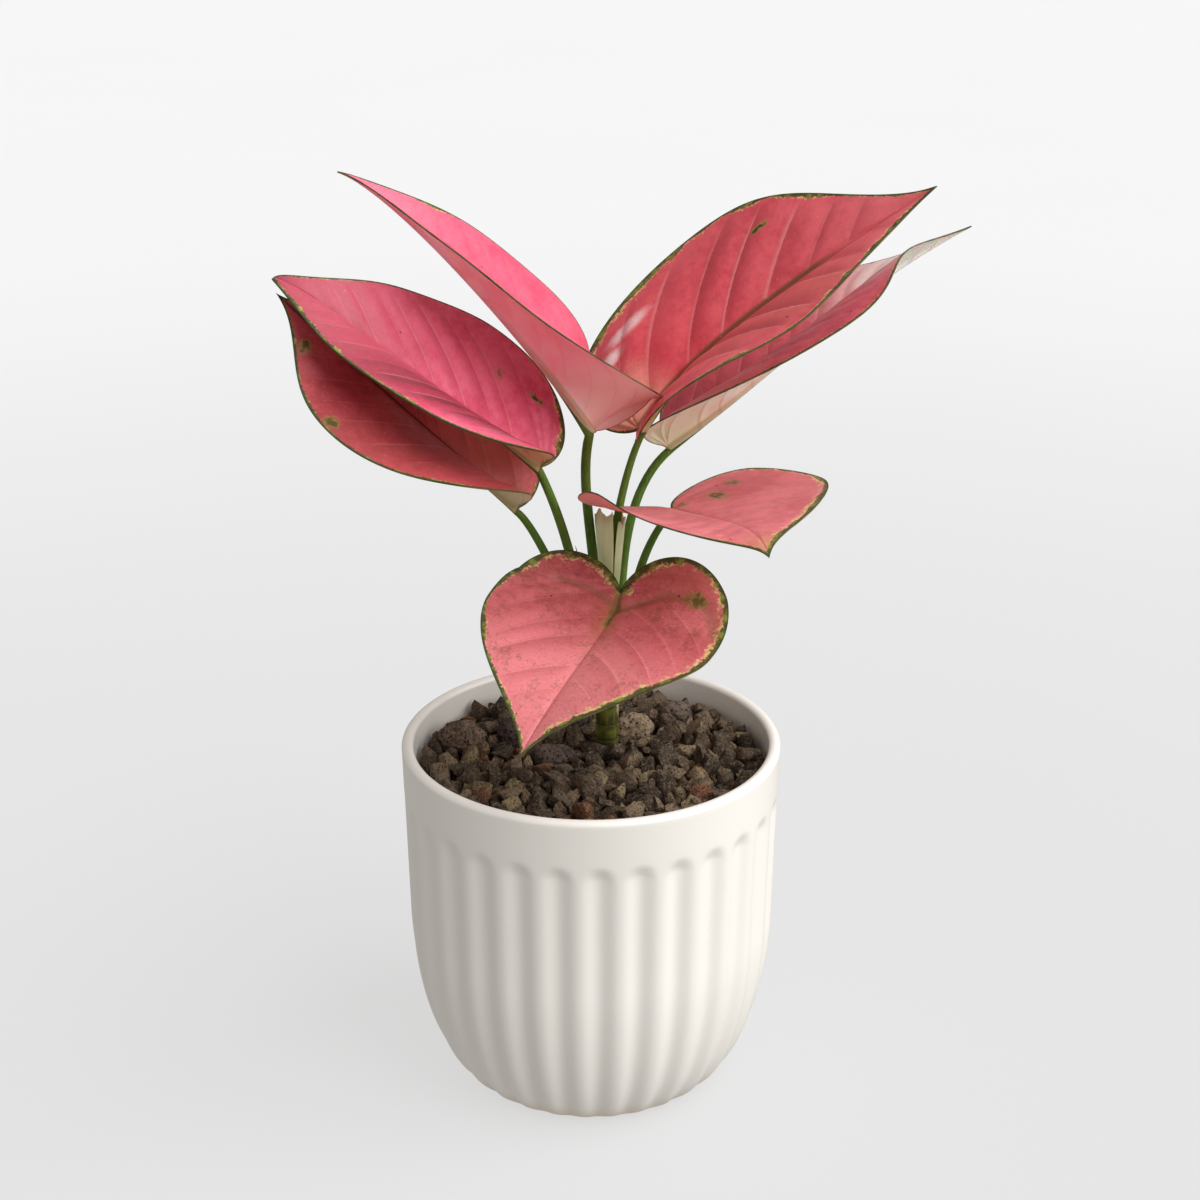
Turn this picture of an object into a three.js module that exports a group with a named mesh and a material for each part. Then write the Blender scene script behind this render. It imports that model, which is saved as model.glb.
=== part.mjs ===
// Potted lady valentine Chinese evergreen: a fluted white pot of lava gravel that holds one short cane
// with seven pink leaves on arching stalks.
// Millimetres, +Z up, origin at the centre of the pot's base, the side that is looked at faces -Y.
import * as THREE from "three";
import { mergeVertices } from "three/addons/utils/BufferGeometryUtils.js";

// driving dimensions of the pot
const potHeight = 128;
const lipRadius = 66;
const baseRadius = 41;
const shoulderRadius = 64.8;
const shoulderHeight = 64;
const shoulderPower = 1.88;
const midWall = 90;
const wallThickness = 4.2;
const lipRounding = 1.8;
const floorThickness = 8;
const floorInset = 13;
const floorRise = 4;
const fluteCount = 30;
const fluteDepth = 1.7;
const fluteTop = 112;
const grooveNarrowing = 1.2;
const fluteArch = 6;
const archWidth = 1.9;
const fluteFade = 6;
const firstFlute = 2.6;
const columnsPerFlute = 4;

// driving dimensions of the gravel and the stones on it
const gap = 0.35;
const gravelLevel = 116.8;
const chipRise = [1.8, 5.2];
const hollowDepth = 0.6;
const chipRings = 20;
const chipJitter = 0.75;
const holeRing = 2;
const stoneSeat = 116.4;
const seatMargin = 3;
const stoneSink = 0.45;
const lumpHeights = [0.09, 0.07];

// driving dimensions of the cane
const caneX = 5.6;
const caneY = 14;
const caneRadius = 4.2;
const caneTop = 155;
const caneFoot = 98;
const scarHeights = [121, 127, 134, 142, 150];
const scarDepth = 0.45;
const scarWidth = 0.7;
const caneBevel = 1.5;

// driving dimensions that all leaves share
const bladeThickness = 0.75;
const keelDepth = 1.5;
const stalkRing = caneRadius + gap + 1.9;
const lobeShare = 0.4;
const cleft = 0.25;
const lobeReach = 1.33;
const lobeRound = 1.1;
const bellyReach = 0.32;
const tipReach = 0.8;
const veinLag = 1.5;
const veinCurve = 1.4;
const waves = 2.6;
const waveOffset = 0.3;
const stalkBehindKeel = 0.9;
const stalkDrop = 0.35;
const stalkUnderKeel = 1.4;
const stalkUnderBlade = 1;
const bladeRows = 28;
const bladeColumns = [0, 0.1, 0.4, 0.7, 1];

// driving dimensions of the sheath and the dry scale, as shares of their stalks where they follow them
const sheathShares = [0.26, 0.34, 0.43, 0.53, 0.615];
const sheathRadii = [2.8, 5.6];
const sheathLean = -2.4;
const sheathTurn = 21;
const sheathOpenings = [3, 12];
const sheathThickness = 0.7;
const sheathTop = [1, 0, 2, 0.5, 2, -1, 1, -2, 0, -1, 1.5, 4, 6, 3, 5];
const scaleShares = [0.2, 0.35, 0.5, 0.62];
const scaleOffset = [2.5, 1.3, 0];
const scaleRadii = [0.75, 0.35];

// Each leaf: the midrib as four Bezier points, how far the blade rolls about it at base and tip (degrees),
// half its width, where it is widest and how blunt its tip is (shares of its length), and for its left and
// right half the fold at base and tip, the curl towards the margin (degrees) and the length of the lobe.
// Its stalk: the direction round the cane and height that it leaves from, its two handles and its radius.
const leaves = {
  left_upper: {
    midrib: [[-16, -5, 228], [-43, -15, 255], [-97, -26, 301], [-101, -9, 292]],
    roll: [-9, -17],
    halfWidth: 36,
    widest: 0.32,
    tip: 0.15,
    left: { fold: [32, -10], curl: -11, lobe: -0.04 },
    right: { fold: [50, 19], curl: -23, lobe: 0.06 },
    wave: 0.9,
    stalk: { turn: 225, height: 148, leave: [-4, -2, 26.5], arrive: [-10, -6, 24.5], radius: [1.9, 1.4] },
  },
  left_lower: {
    midrib: [[-24, 0, 212], [-50, -8, 239], [-67, -24, 261], [-99, -15, 289]],
    roll: [-8, -29],
    halfWidth: 39,
    widest: 0.44,
    tip: 0.12,
    left: { fold: [32, -30], curl: -4, lobe: -0.04 },
    right: { fold: [46, 24], curl: -12, lobe: 0.05 },
    wave: 0.9,
    stalk: { turn: 175, height: 145, leave: [-4, 0, 23.5], arrive: [-6, -4, 6], radius: [1.8, 1.2] },
  },
  centre: {
    midrib: [[0, 4, 238], [-6, -4, 255], [-61, 9, 317], [-82, 19, 321]],
    roll: [14, 0],
    halfWidth: 35,
    widest: 0.27,
    tip: 0.12,
    left: { fold: [60, 26], curl: -50, lobe: 0.06 },
    right: { fold: [50, 19], curl: -32, lobe: 0 },
    wave: 0.7,
    stalk: { turn: 135, height: 141, leave: [4.6, 3.4, 38], arrive: [5, -12, 25.5], radius: [1.9, 1.6] },
  },
  right_upper: {
    midrib: [[17, 21, 233], [31, 23, 261], [79, 19, 292], [111, 10, 318]],
    roll: [12, 26],
    halfWidth: 43,
    widest: 0.35,
    tip: 0.16,
    left: { fold: [38, 33], curl: -19, lobe: 0.08 },
    right: { fold: [30, 6], curl: -8, lobe: 0.03 },
    wave: 1,
    stalk: { turn: -46, height: 152, leave: [-9, -3, 26], arrive: [6.4, 0.5, 9.8], radius: [1.8, 1.1] },
  },
  right_lower: {
    midrib: [[27, 41, 221], [72, 35, 257], [91, 76, 268], [134, 73, 292]],
    roll: [-8, -18],
    halfWidth: 36,
    widest: 0.42,
    tip: 0.13,
    left: { fold: [42, 10], curl: -18, lobe: 0.02 },
    right: { fold: [48, 30], curl: -60, lobe: 0.04 },
    wave: 0.8,
    stalk: { turn: 45, height: 143, leave: [0, 5, 26], arrive: [19, 5, 15], radius: [1.9, 1.4] },
  },
  small_right: {
    midrib: [[27, 10, 209], [46, -17, 213], [52, -50, 225], [55, -63, 218]],
    roll: [3, 6],
    halfWidth: 42,
    widest: 0.29,
    tip: 0.13,
    left: { fold: [6, 3], curl: 6, lobe: 0.14 },
    right: { fold: [-2, -7], curl: 50, lobe: 0.24 },
    wave: 0.6,
    stalk: { turn: -5, height: 147, leave: [1, 0, 29], arrive: [9.5, -7, 15], radius: [1.8, 1.2] },
    meetsBelow: true,
  },
  front: {
    midrib: [[10, -12, 188], [7.6, -26, 178.5], [-6, -50, 177.5], [-22, -75, 156]],
    roll: [-3, 2],
    halfWidth: 40,
    widest: 0.31,
    tip: 0.15,
    left: { fold: [3, 17], curl: -10, lobe: 0.23 },
    right: { fold: [8, 15], curl: 4, lobe: 0.19 },
    wave: 0.6,
    stalk: { turn: -95, height: 149, leave: [0, -1, 14], arrive: [-1, -9, 5], radius: [1.9, 1.4] },
    meetsBelow: true,
  },
};

// Stones that lie on the gravel: place of the middle, half sizes, turn about Z in degrees, colour.
const stones = {
  brown: { at: [-46, 16], size: [9.2, 7.6, 6.4], turn: 12, color: 0x6f6058 },
  dark: { at: [-29, 21], size: [6.2, 5.4, 6.2], turn: 50, color: 0x4b4342 },
  slab: { at: [-14, 4], size: [9.5, 5.6, 4.2], turn: -8, color: 0x5d524d },
  tan: { at: [15.5, 25], size: [8, 6.4, 6], turn: 24, color: 0x7d7064 },
  behind: { at: [-6, 33], size: [7, 6, 6], turn: 70, color: 0x625650 },
  right: { at: [31, 39], size: [6, 5, 5.2], turn: -30, color: 0x5a4f4b },
};

const degrees = THREE.MathUtils.degToRad;
const mix = THREE.MathUtils.lerp;
const clamp = THREE.MathUtils.clamp;

function seededRandom(seed) {
  let state = seed;
  return () => {
    state = (state * 16807) % 2147483647;
    return state / 2147483647;
  };
}

function finish(name, geometry, color, roughness) {
  const material = new THREE.MeshStandardMaterial({ color, roughness, metalness: 0 });
  const mesh = new THREE.Mesh(geometry, material);
  mesh.name = name;
  return mesh;
}

// A closed body from a list of points and triples of their numbers; triples with a point twice drop out.
function bodyOf(points, triples) {
  const geometry = new THREE.BufferGeometry().setFromPoints(points);
  const kept = triples.filter(([a, b, c]) => a !== b && b !== c && a !== c);
  geometry.setIndex(kept.flat());
  geometry.computeVertexNormals();
  return geometry;
}

// The pot's outer wall: a rounded foot up to the shoulder, then a nearly straight taper to the lip.
function outerRadius(z) {
  if (z < shoulderHeight) {
    const below = (1 - z / shoulderHeight) ** shoulderPower;
    return mix(baseRadius, shoulderRadius, (1 - below) ** (1 / shoulderPower));
  }
  return mix(shoulderRadius, lipRadius, (z - shoulderHeight) / (potHeight - shoulderHeight));
}

function innerRadius(z) {
  return outerRadius(Math.max(z, shoulderHeight)) - wallThickness;
}

function potProfile() {
  const profile = [[0, 0]];
  const shoulderSteps = 7;
  for (let i = 0; i <= shoulderSteps; i++) {
    const z = shoulderHeight * (i / shoulderSteps) ** 1.5;
    profile.push([outerRadius(z), z]);
  }
  for (const z of [midWall, fluteTop - fluteFade, fluteTop - fluteFade / 2, fluteTop]) {
    profile.push([outerRadius(z), z]);
  }
  const lipSteps = 4;
  for (let i = 0; i <= lipSteps; i++) {
    const angle = (i / lipSteps) * Math.PI;
    const middle = lipRadius - wallThickness / 2;
    const across = (wallThickness / 2) * Math.cos(angle);
    profile.push([middle + across, potHeight - lipRounding * (1 - Math.sin(angle))]);
  }
  profile.push([innerRadius(shoulderHeight), shoulderHeight]);
  profile.push([innerRadius(shoulderHeight) - floorInset, floorThickness + floorRise]);
  profile.push([0, floorThickness]);
  return profile.map(([r, z]) => new THREE.Vector2(r, z));
}

// The flutes are narrow grooves with round tops between broad ridges; they sink the outer wall only.
function fluteSink(angle, z) {
  const pitch = (2 * Math.PI) / fluteCount;
  const offset = (angle - degrees(firstFlute)) / pitch;
  const fromGroove = offset - Math.round(offset);
  const groove = ((1 + Math.cos(2 * Math.PI * fromGroove)) / 2) ** grooveNarrowing;
  const archDrop = fluteArch * (1 - Math.sqrt(1 - (archWidth * Math.abs(fromGroove)) ** 2));
  const fadeIn = clamp((fluteTop - archDrop - z) / fluteFade, 0, 1);
  const fadeOut = clamp(z / fluteFade, 0, 1);
  return fluteDepth * groove * fadeIn * fadeOut;
}

function pot() {
  const lathe = new THREE.LatheGeometry(potProfile(), fluteCount * columnsPerFlute);
  lathe.rotateX(Math.PI / 2);
  // the grooves fall on vertex columns once the lathe is turned to the first of them
  lathe.rotateZ(degrees(firstFlute - 90));
  const position = lathe.attributes.position;
  const spot = new THREE.Vector3();
  for (let i = 0; i < position.count; i++) {
    spot.fromBufferAttribute(position, i);
    const radius = Math.hypot(spot.x, spot.y);
    const outside = Math.abs(radius - outerRadius(spot.z)) < wallThickness / 2;
    if (outside && spot.z < fluteTop) {
      const angle = Math.atan2(spot.x, -spot.y);
      const shrink = (radius - fluteSink(angle, spot.z)) / radius;
      position.setXY(i, spot.x * shrink, spot.y * shrink);
    }
  }
  lathe.deleteAttribute("normal");
  lathe.deleteAttribute("uv");
  const body = mergeVertices(lathe, 1e-4);
  body.computeVertexNormals();
  return finish("pot", body, 0xe9e5de, 0.35);
}

// The gravel: rings of points, six more in each, run from the cane's hole to the pot's wall, so that every
// point but the outer ones has six neighbours: one point in three is the top of a chip.
function gravelBed() {
  const random = seededRandom(41);
  const sixths = [[1, 0], [0, 1], [-1, 1], [-1, 0], [0, -1], [1, -1]];
  const wall = innerRadius(gravelLevel) - gap;
  const holeRadius = (caneRadius + gap) / Math.cos(Math.PI / (6 * holeRing));
  const points = [];
  const firstOf = {};
  for (let ring = holeRing; ring <= chipRings; ring++) {
    firstOf[ring] = points.length;
    const share = (ring - holeRing) / (chipRings - holeRing);
    const radius = mix(holeRadius, wall, share);
    for (let i = 0; i < 6 * ring; i++) {
      const sector = Math.floor(i / ring);
      const step = i % ring;
      const q = ring * sixths[sector][0] + step * sixths[(sector + 2) % 6][0];
      const r = ring * sixths[sector][1] + step * sixths[(sector + 2) % 6][1];
      const isTop = (((q - r) % 3) + 3) % 3 === 0;
      const angle = (2 * Math.PI * i) / (6 * ring);
      const edge = ring === holeRing || ring === chipRings;
      const loose = edge ? 0 : chipJitter;
      const x = mix(caneX, 0, share) + radius * Math.cos(angle) + loose * (2 * random() - 1);
      const y = mix(caneY, 0, share) + radius * Math.sin(angle) + loose * (2 * random() - 1);
      const rise = isTop ? mix(chipRise[0], chipRise[1], random()) : random() - hollowDepth;
      const height = edge ? gravelLevel : Math.min(gravelLevel + rise, clearance(x, y));
      points.push(new THREE.Vector3(x, y, height));
    }
  }
  const triples = [];
  for (let ring = holeRing; ring < chipRings; ring++) {
    const inner = (i) => firstOf[ring] + (i % (6 * ring));
    const outer = (i) => firstOf[ring + 1] + (i % (6 * (ring + 1)));
    for (let sector = 0; sector < 6; sector++) {
      for (let i = 0; i <= ring; i++) {
        const a = sector * ring + i;
        const b = sector * (ring + 1) + i;
        triples.push([inner(a), outer(b), outer(b + 1)]);
        if (i < ring) {
          triples.push([inner(a), outer(b + 1), inner(a + 1)]);
        }
      }
    }
  }
  // the side follows the pot's wall down to its floor, and the hole is blind
  let above = firstOf[chipRings];
  const around = 6 * chipRings;
  for (const [radius, z] of [
    [innerRadius(shoulderHeight) - gap, shoulderHeight],
    [innerRadius(shoulderHeight) - floorInset - gap, floorThickness + floorRise + gap],
  ]) {
    const start = points.length;
    for (let i = 0; i < around; i++) {
      const angle = (2 * Math.PI * i) / around;
      points.push(new THREE.Vector3(radius * Math.cos(angle), radius * Math.sin(angle), z));
    }
    for (let i = 0; i < around; i++) {
      const next = (i + 1) % around;
      triples.push([above + i, start + i, start + next], [above + i, start + next, above + next]);
    }
    above = start;
  }
  const floor = points.push(new THREE.Vector3(0, 0, floorThickness + gap)) - 1;
  for (let i = 0; i < around; i++) {
    triples.push([above + i, floor, above + ((i + 1) % around)]);
  }
  const mouth = firstOf[holeRing];
  const holeSides = 6 * holeRing;
  const bottom = points.length;
  for (let i = 0; i < holeSides; i++) {
    const lip = points[mouth + i];
    points.push(new THREE.Vector3(lip.x, lip.y, caneFoot - gap));
  }
  const pit = points.push(new THREE.Vector3(caneX, caneY, caneFoot - gap)) - 1;
  for (let i = 0; i < holeSides; i++) {
    const next = (i + 1) % holeSides;
    triples.push([mouth + i, mouth + next, bottom + next], [mouth + i, bottom + next, bottom + i]);
    triples.push([bottom + i, bottom + next, pit]);
  }
  return finish("gravel_bed", bodyOf(points, triples), 0x5f5551, 0.95);
}

// How high the gravel may come at a place: a stone lies in a shallow seat.
function clearance(x, y) {
  for (const stone of Object.values(stones)) {
    const reach = Math.max(stone.size[0], stone.size[1]) + seatMargin;
    if (Math.hypot(x - stone.at[0], y - stone.at[1]) < reach) {
      return stoneSeat - gap;
    }
  }
  return Infinity;
}

function stoneOf(name, stone) {
  const rough = new THREE.IcosahedronGeometry(1, 1);
  rough.deleteAttribute("normal");
  rough.deleteAttribute("uv");
  const geometry = mergeVertices(rough, 1e-4);
  const position = geometry.attributes.position;
  const spot = new THREE.Vector3();
  const middle = stoneSeat + stone.size[2] * stoneSink;
  for (let i = 0; i < position.count; i++) {
    spot.fromBufferAttribute(position, i);
    const wide = lumpHeights[0] * Math.sin(4 * spot.x + stone.turn);
    const narrow = lumpHeights[1] * Math.sin(5 * spot.y + 2 * spot.z);
    spot.multiplyScalar(1 + wide + narrow).multiply(new THREE.Vector3(...stone.size));
    spot.applyAxisAngle(new THREE.Vector3(0, 0, 1), degrees(stone.turn));
    const z = Math.max(spot.z + middle, stoneSeat);
    position.setXYZ(i, spot.x + stone.at[0], spot.y + stone.at[1], z);
  }
  geometry.computeVertexNormals();
  return finish(`stone_${name}`, geometry, stone.color, 0.95);
}

// The cane, with a ring scar where each old leaf fell.
function cane() {
  const profile = [[0, caneFoot], [caneRadius, caneFoot]];
  for (const z of scarHeights) {
    profile.push([caneRadius, z - scarWidth], [caneRadius - scarDepth, z], [caneRadius, z + scarWidth]);
  }
  profile.push([caneRadius, caneTop - caneBevel], [caneRadius - caneBevel, caneTop], [0, caneTop]);
  const lathe = new THREE.LatheGeometry(profile.map(([r, z]) => new THREE.Vector2(r, z)), 16);
  lathe.rotateX(Math.PI / 2);
  lathe.translate(caneX, caneY, 0);
  return finish("cane", lathe, 0x7c8456, 0.6);
}

function prepared(leaf) {
  const curve = new THREE.CubicBezierCurve3(...leaf.midrib.map((p) => new THREE.Vector3(...p)));
  return { ...leaf, curve, length: curve.getLength() };
}

// The midrib's point at a share of its length with the directions ahead, to the right and out of the upper
// face; a negative share runs straight on behind the base, where the lobes are.
function frameAt(leaf, share) {
  const held = clamp(share, 0, 1);
  const ahead = leaf.curve.getTangentAt(held);
  const point = leaf.curve.getPointAt(held);
  point.addScaledVector(ahead, Math.min(share, 0) * leaf.length);
  const up = new THREE.Vector3(0, 0, 1).addScaledVector(ahead, -ahead.z).normalize();
  const right = new THREE.Vector3().crossVectors(ahead, up);
  const roll = degrees(mix(leaf.roll[0], leaf.roll[1], held));
  const upper = up.clone().multiplyScalar(Math.cos(roll)).addScaledVector(right, Math.sin(roll));
  const beside = right.clone().multiplyScalar(Math.cos(roll)).addScaledVector(up, -Math.sin(roll));
  return { point, ahead, beside, upper };
}

// The flat half outline, in half widths across and lengths along: the lobe behind the base, then the tip.
function marginAt(leaf, half, u) {
  const at = (x, y) => new THREE.Vector2(x, y);
  const widest = at(1, leaf.widest);
  if (u < lobeShare) {
    const behind = at(cleft, -lobeReach * half.lobe);
    const round = at(1, -lobeRound * half.lobe);
    return new THREE.CubicBezierCurve(at(0, 0), behind, round, widest).getPoint(u / lobeShare);
  }
  const shoulder = at(1, leaf.widest + bellyReach);
  const towardsTip = at(leaf.tip, tipReach);
  const share = (u - lobeShare) / (1 - lobeShare);
  return new THREE.CubicBezierCurve(widest, shoulder, towardsTip, at(0, 1)).getPoint(share);
}

// A point of the upper face: u runs from base to tip, v from the midrib along a vein to the margin.
function bladePoint(leaf, side, u, v) {
  const half = side > 0 ? leaf.right : leaf.left;
  const margin = marginAt(leaf, half, u);
  const veinRoot = u ** veinLag;
  const along = veinRoot + (margin.y - veinRoot) * v ** veinCurve;
  const frame = frameAt(leaf, along);
  const across = margin.x * v * leaf.halfWidth;
  const fold = degrees(mix(half.fold[0], half.fold[1], clamp(along, 0, 1)));
  const bend = degrees(half.curl) / leaf.halfWidth;
  const out = (Math.sin(fold + bend * across) - Math.sin(fold)) / bend;
  const rise = (Math.cos(fold) - Math.cos(fold + bend * across)) / bend;
  const ripple = leaf.wave * margin.x * v * v * Math.sin(2 * Math.PI * (waves * u + waveOffset * side));
  return frame.point.addScaledVector(frame.beside, side * out).addScaledVector(frame.upper, rise + ripple);
}

function bladeNormal(leaf, side, u, v) {
  const du = 0.004;
  const dv = 0.02;
  const ahead = bladePoint(leaf, side, u + du, v).sub(bladePoint(leaf, side, u - du, v));
  const outward = bladePoint(leaf, side, u, v).sub(bladePoint(leaf, side, u, v - dv));
  return outward.cross(ahead).multiplyScalar(side).normalize();
}

// The upper face is split into quads along the veins, and the lower face lies the blade's thickness below
// it with the same splits; under the midrib it is a keel that thins towards the tip.
function blade(name, leaf) {
  const points = [];
  const add = (point) => points.push(point) - 1;
  const numbers = { top: {}, low: {} };
  const columns = bladeColumns.length;
  for (let row = 0; row <= bladeRows; row++) {
    const u = row / bladeRows;
    const along = u ** veinLag;
    const rib = frameAt(leaf, along);
    const ribDepth = bladeThickness + keelDepth * (1 - along);
    const ribTop = add(rib.point.clone());
    const ribLow = add(rib.point.clone().addScaledVector(rib.upper, -ribDepth));
    for (const side of [-1, 1]) {
      for (let column = 0; column < columns; column++) {
        const key = `${side} ${row} ${column}`;
        const onRib = column === 0 || row === 0 || row === bladeRows;
        if (onRib) {
          numbers.top[key] = ribTop;
          numbers.low[key] = ribLow;
        } else {
          const v = bladeColumns[column];
          const top = bladePoint(leaf, side, u, v);
          const normal = bladeNormal(leaf, side, u, v);
          numbers.top[key] = add(top);
          numbers.low[key] = add(top.clone().addScaledVector(normal, -bladeThickness));
        }
      }
    }
  }
  const triples = [];
  const quad = (a, b, c, d, turned) => {
    triples.push(...(turned ? [[a, c, b], [a, d, c]] : [[a, b, c], [a, c, d]]));
  };
  for (const side of [-1, 1]) {
    for (let row = 0; row < bladeRows; row++) {
      for (let column = 0; column < columns - 1; column++) {
        const keys = [[row, column], [row, column + 1], [row + 1, column + 1], [row + 1, column]];
        const corners = keys.map(([r, c]) => `${side} ${r} ${c}`);
        quad(...corners.map((key) => numbers.top[key]), side < 0);
        quad(...corners.map((key) => numbers.low[key]), side > 0);
      }
      const here = `${side} ${row} ${columns - 1}`;
      const next = `${side} ${row + 1} ${columns - 1}`;
      quad(numbers.low[here], numbers.low[next], numbers.top[next], numbers.top[here], side < 0);
    }
  }
  return finish(`blade_${name}`, bodyOf(points, triples), 0xd8707f, 0.5);
}

// A round tube that tapers along a curve, with flat ends.
function taperedTube(curve, radii, sides, steps) {
  const points = [];
  const frames = curve.computeFrenetFrames(steps, false);
  for (let step = 0; step <= steps; step++) {
    const middle = curve.getPointAt(step / steps);
    const radius = mix(radii[0], radii[1], step / steps);
    for (let i = 0; i < sides; i++) {
      const angle = (2 * Math.PI * i) / sides;
      const rim = middle.clone().addScaledVector(frames.normals[step], radius * Math.cos(angle));
      points.push(rim.addScaledVector(frames.binormals[step], radius * Math.sin(angle)));
    }
  }
  const triples = [];
  for (let step = 0; step < steps; step++) {
    for (let i = 0; i < sides; i++) {
      const a = step * sides + i;
      const b = step * sides + ((i + 1) % sides);
      triples.push([a, b, b + sides], [a, b + sides, a + sides]);
    }
  }
  const foot = points.push(curve.getPointAt(0)) - 1;
  const head = points.push(curve.getPointAt(1)) - 1;
  for (let i = 0; i < sides; i++) {
    const next = (i + 1) % sides;
    triples.push([foot, next, i], [head, steps * sides + i, steps * sides + next]);
  }
  return bodyOf(points, triples);
}

// A stalk stands against the cane and meets the blade at the foot of its keel, or under it.
function stalkCurve(leaf) {
  const { turn, height, leave, arrive } = leaf.stalk;
  const below = leaf.meetsBelow;
  const base = frameAt(leaf, 0);
  const angle = degrees(turn);
  const foot = new THREE.Vector3(stalkRing * Math.cos(angle), stalkRing * Math.sin(angle), height);
  foot.x += caneX;
  foot.y += caneY;
  const drop = bladeThickness + keelDepth + (below ? stalkUnderKeel : stalkDrop);
  const head = base.point.clone().addScaledVector(base.upper, -drop);
  head.addScaledVector(base.ahead, below ? stalkUnderBlade : -stalkBehindKeel);
  const first = foot.clone().add(new THREE.Vector3(...leave));
  const second = head.clone().sub(new THREE.Vector3(...arrive));
  return new THREE.CubicBezierCurve3(foot, first, second, head);
}

function stalk(name, leaf) {
  return finish(`stalk_${name}`, taperedTube(stalkCurve(leaf), leaf.stalk.radius, 8, 12), 0x8da268, 0.45);
}

// A papery wrap round the stalk of the upper right leaf: open on one side, and wider, off the stalk's middle
// and ragged at the top.
function sheath(leaf) {
  const curve = stalkCurve(leaf);
  const columns = sheathTop.length;
  const rows = sheathShares.length;
  const points = [];
  for (const layer of [0, sheathThickness]) {
    sheathShares.forEach((share, row) => {
      const middle = curve.getPointAt(share);
      const climb = row / (rows - 1);
      const radius = mix(...sheathRadii, climb) - layer;
      const open = degrees(mix(...sheathOpenings, climb ** 4));
      for (let i = 0; i < columns; i++) {
        const angle = degrees(sheathTurn) + open + (2 * (Math.PI - open) * i) / (columns - 1);
        const x = middle.x + sheathLean * climb ** 2 + radius * Math.sin(angle);
        const y = middle.y - radius * Math.cos(angle);
        points.push(new THREE.Vector3(x, y, middle.z + sheathTop[i] * climb ** 3));
      }
    });
  }
  const layerSize = rows * columns;
  const triples = [];
  const quad = (a, b, c, d) => triples.push([a, b, c], [a, c, d]);
  for (let row = 0; row < rows - 1; row++) {
    for (let i = 0; i < columns - 1; i++) {
      const a = row * columns + i;
      quad(a, a + 1, a + 1 + columns, a + columns);
      quad(a + layerSize, a + layerSize + columns, a + layerSize + 1 + columns, a + layerSize + 1);
    }
    const left = row * columns;
    const right = left + columns - 1;
    quad(left, left + columns, left + columns + layerSize, left + layerSize);
    quad(right, right + layerSize, right + columns + layerSize, right + columns);
  }
  for (let i = 0; i < columns - 1; i++) {
    const top = (rows - 1) * columns + i;
    quad(i, i + layerSize, i + 1 + layerSize, i + 1);
    quad(top, top + 1, top + 1 + layerSize, top + layerSize);
  }
  return finish("sheath", bodyOf(points, triples), 0xd9d9b4, 0.7);
}

// A dry scale stands beside the stalk of the upper left leaf and ends in a point.
function dryScale(leaf) {
  const beside = new THREE.Vector3(...scaleOffset);
  const route = stalkCurve(leaf);
  const points = scaleShares.map((share) => route.getPointAt(share).add(beside));
  const scale = taperedTube(new THREE.CatmullRomCurve3(points), scaleRadii, 6, 8);
  return finish("dry_scale", scale, 0xa39a86, 0.9);
}

const group = new THREE.Group();
group.add(pot(), gravelBed(), cane());
for (const [name, stone] of Object.entries(stones)) {
  group.add(stoneOf(name, stone));
}
for (const [name, plain] of Object.entries(leaves)) {
  const leaf = prepared(plain);
  group.add(stalk(name, leaf), blade(name, leaf));
}
group.add(sheath(prepared(leaves.right_upper)), dryScale(prepared(leaves.left_upper)));

export default group;
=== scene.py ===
# Potted lady valentine Chinese evergreen: a fluted white pot of lava gravel with one short cane
# and seven pink leaves. Metres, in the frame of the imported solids; sizes below are in millimetres.
import math
import random

import bmesh
import bpy
import numpy as np
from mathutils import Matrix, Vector


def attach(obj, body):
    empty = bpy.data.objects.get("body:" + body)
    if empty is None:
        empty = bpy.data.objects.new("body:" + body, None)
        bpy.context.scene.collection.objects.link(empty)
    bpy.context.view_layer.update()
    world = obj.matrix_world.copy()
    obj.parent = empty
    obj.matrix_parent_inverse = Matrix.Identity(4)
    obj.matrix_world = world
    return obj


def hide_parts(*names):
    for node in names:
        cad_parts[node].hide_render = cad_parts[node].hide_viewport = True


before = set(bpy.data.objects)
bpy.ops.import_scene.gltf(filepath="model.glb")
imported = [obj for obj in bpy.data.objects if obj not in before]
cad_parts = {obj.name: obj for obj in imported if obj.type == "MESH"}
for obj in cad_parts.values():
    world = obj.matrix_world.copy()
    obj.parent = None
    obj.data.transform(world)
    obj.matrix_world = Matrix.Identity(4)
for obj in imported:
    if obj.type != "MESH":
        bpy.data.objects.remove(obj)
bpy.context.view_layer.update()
mm = 0.001
print("frame loaded:", len(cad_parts), "solids")


# the camera stands where the photo was taken from
camera = {"place": (3.1, -678.1, 448.5), "down": 21.68, "lens": 64.3, "sensor": 36, "near": 10, "far": 50000}

bpy.ops.object.camera_add(
    location=[value * mm for value in camera["place"]],
    rotation=(math.radians(90 - camera["down"]), 0, 0),
)
eye = bpy.context.object
eye.data.lens = camera["lens"]
eye.data.sensor_width = camera["sensor"]
eye.data.clip_start = camera["near"] * mm
eye.data.clip_end = camera["far"] * mm
bpy.context.scene.camera = eye


# small tools for modelling
def add(primitive, **settings):  # a new primitive, alone in the selection
    bpy.ops.object.select_all(action="DESELECT")
    primitive(**settings)
    return bpy.context.object


def editAll(piece):
    bpy.ops.object.mode_set(mode="EDIT")
    bpy.ops.mesh.select_all(action="SELECT")


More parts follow.
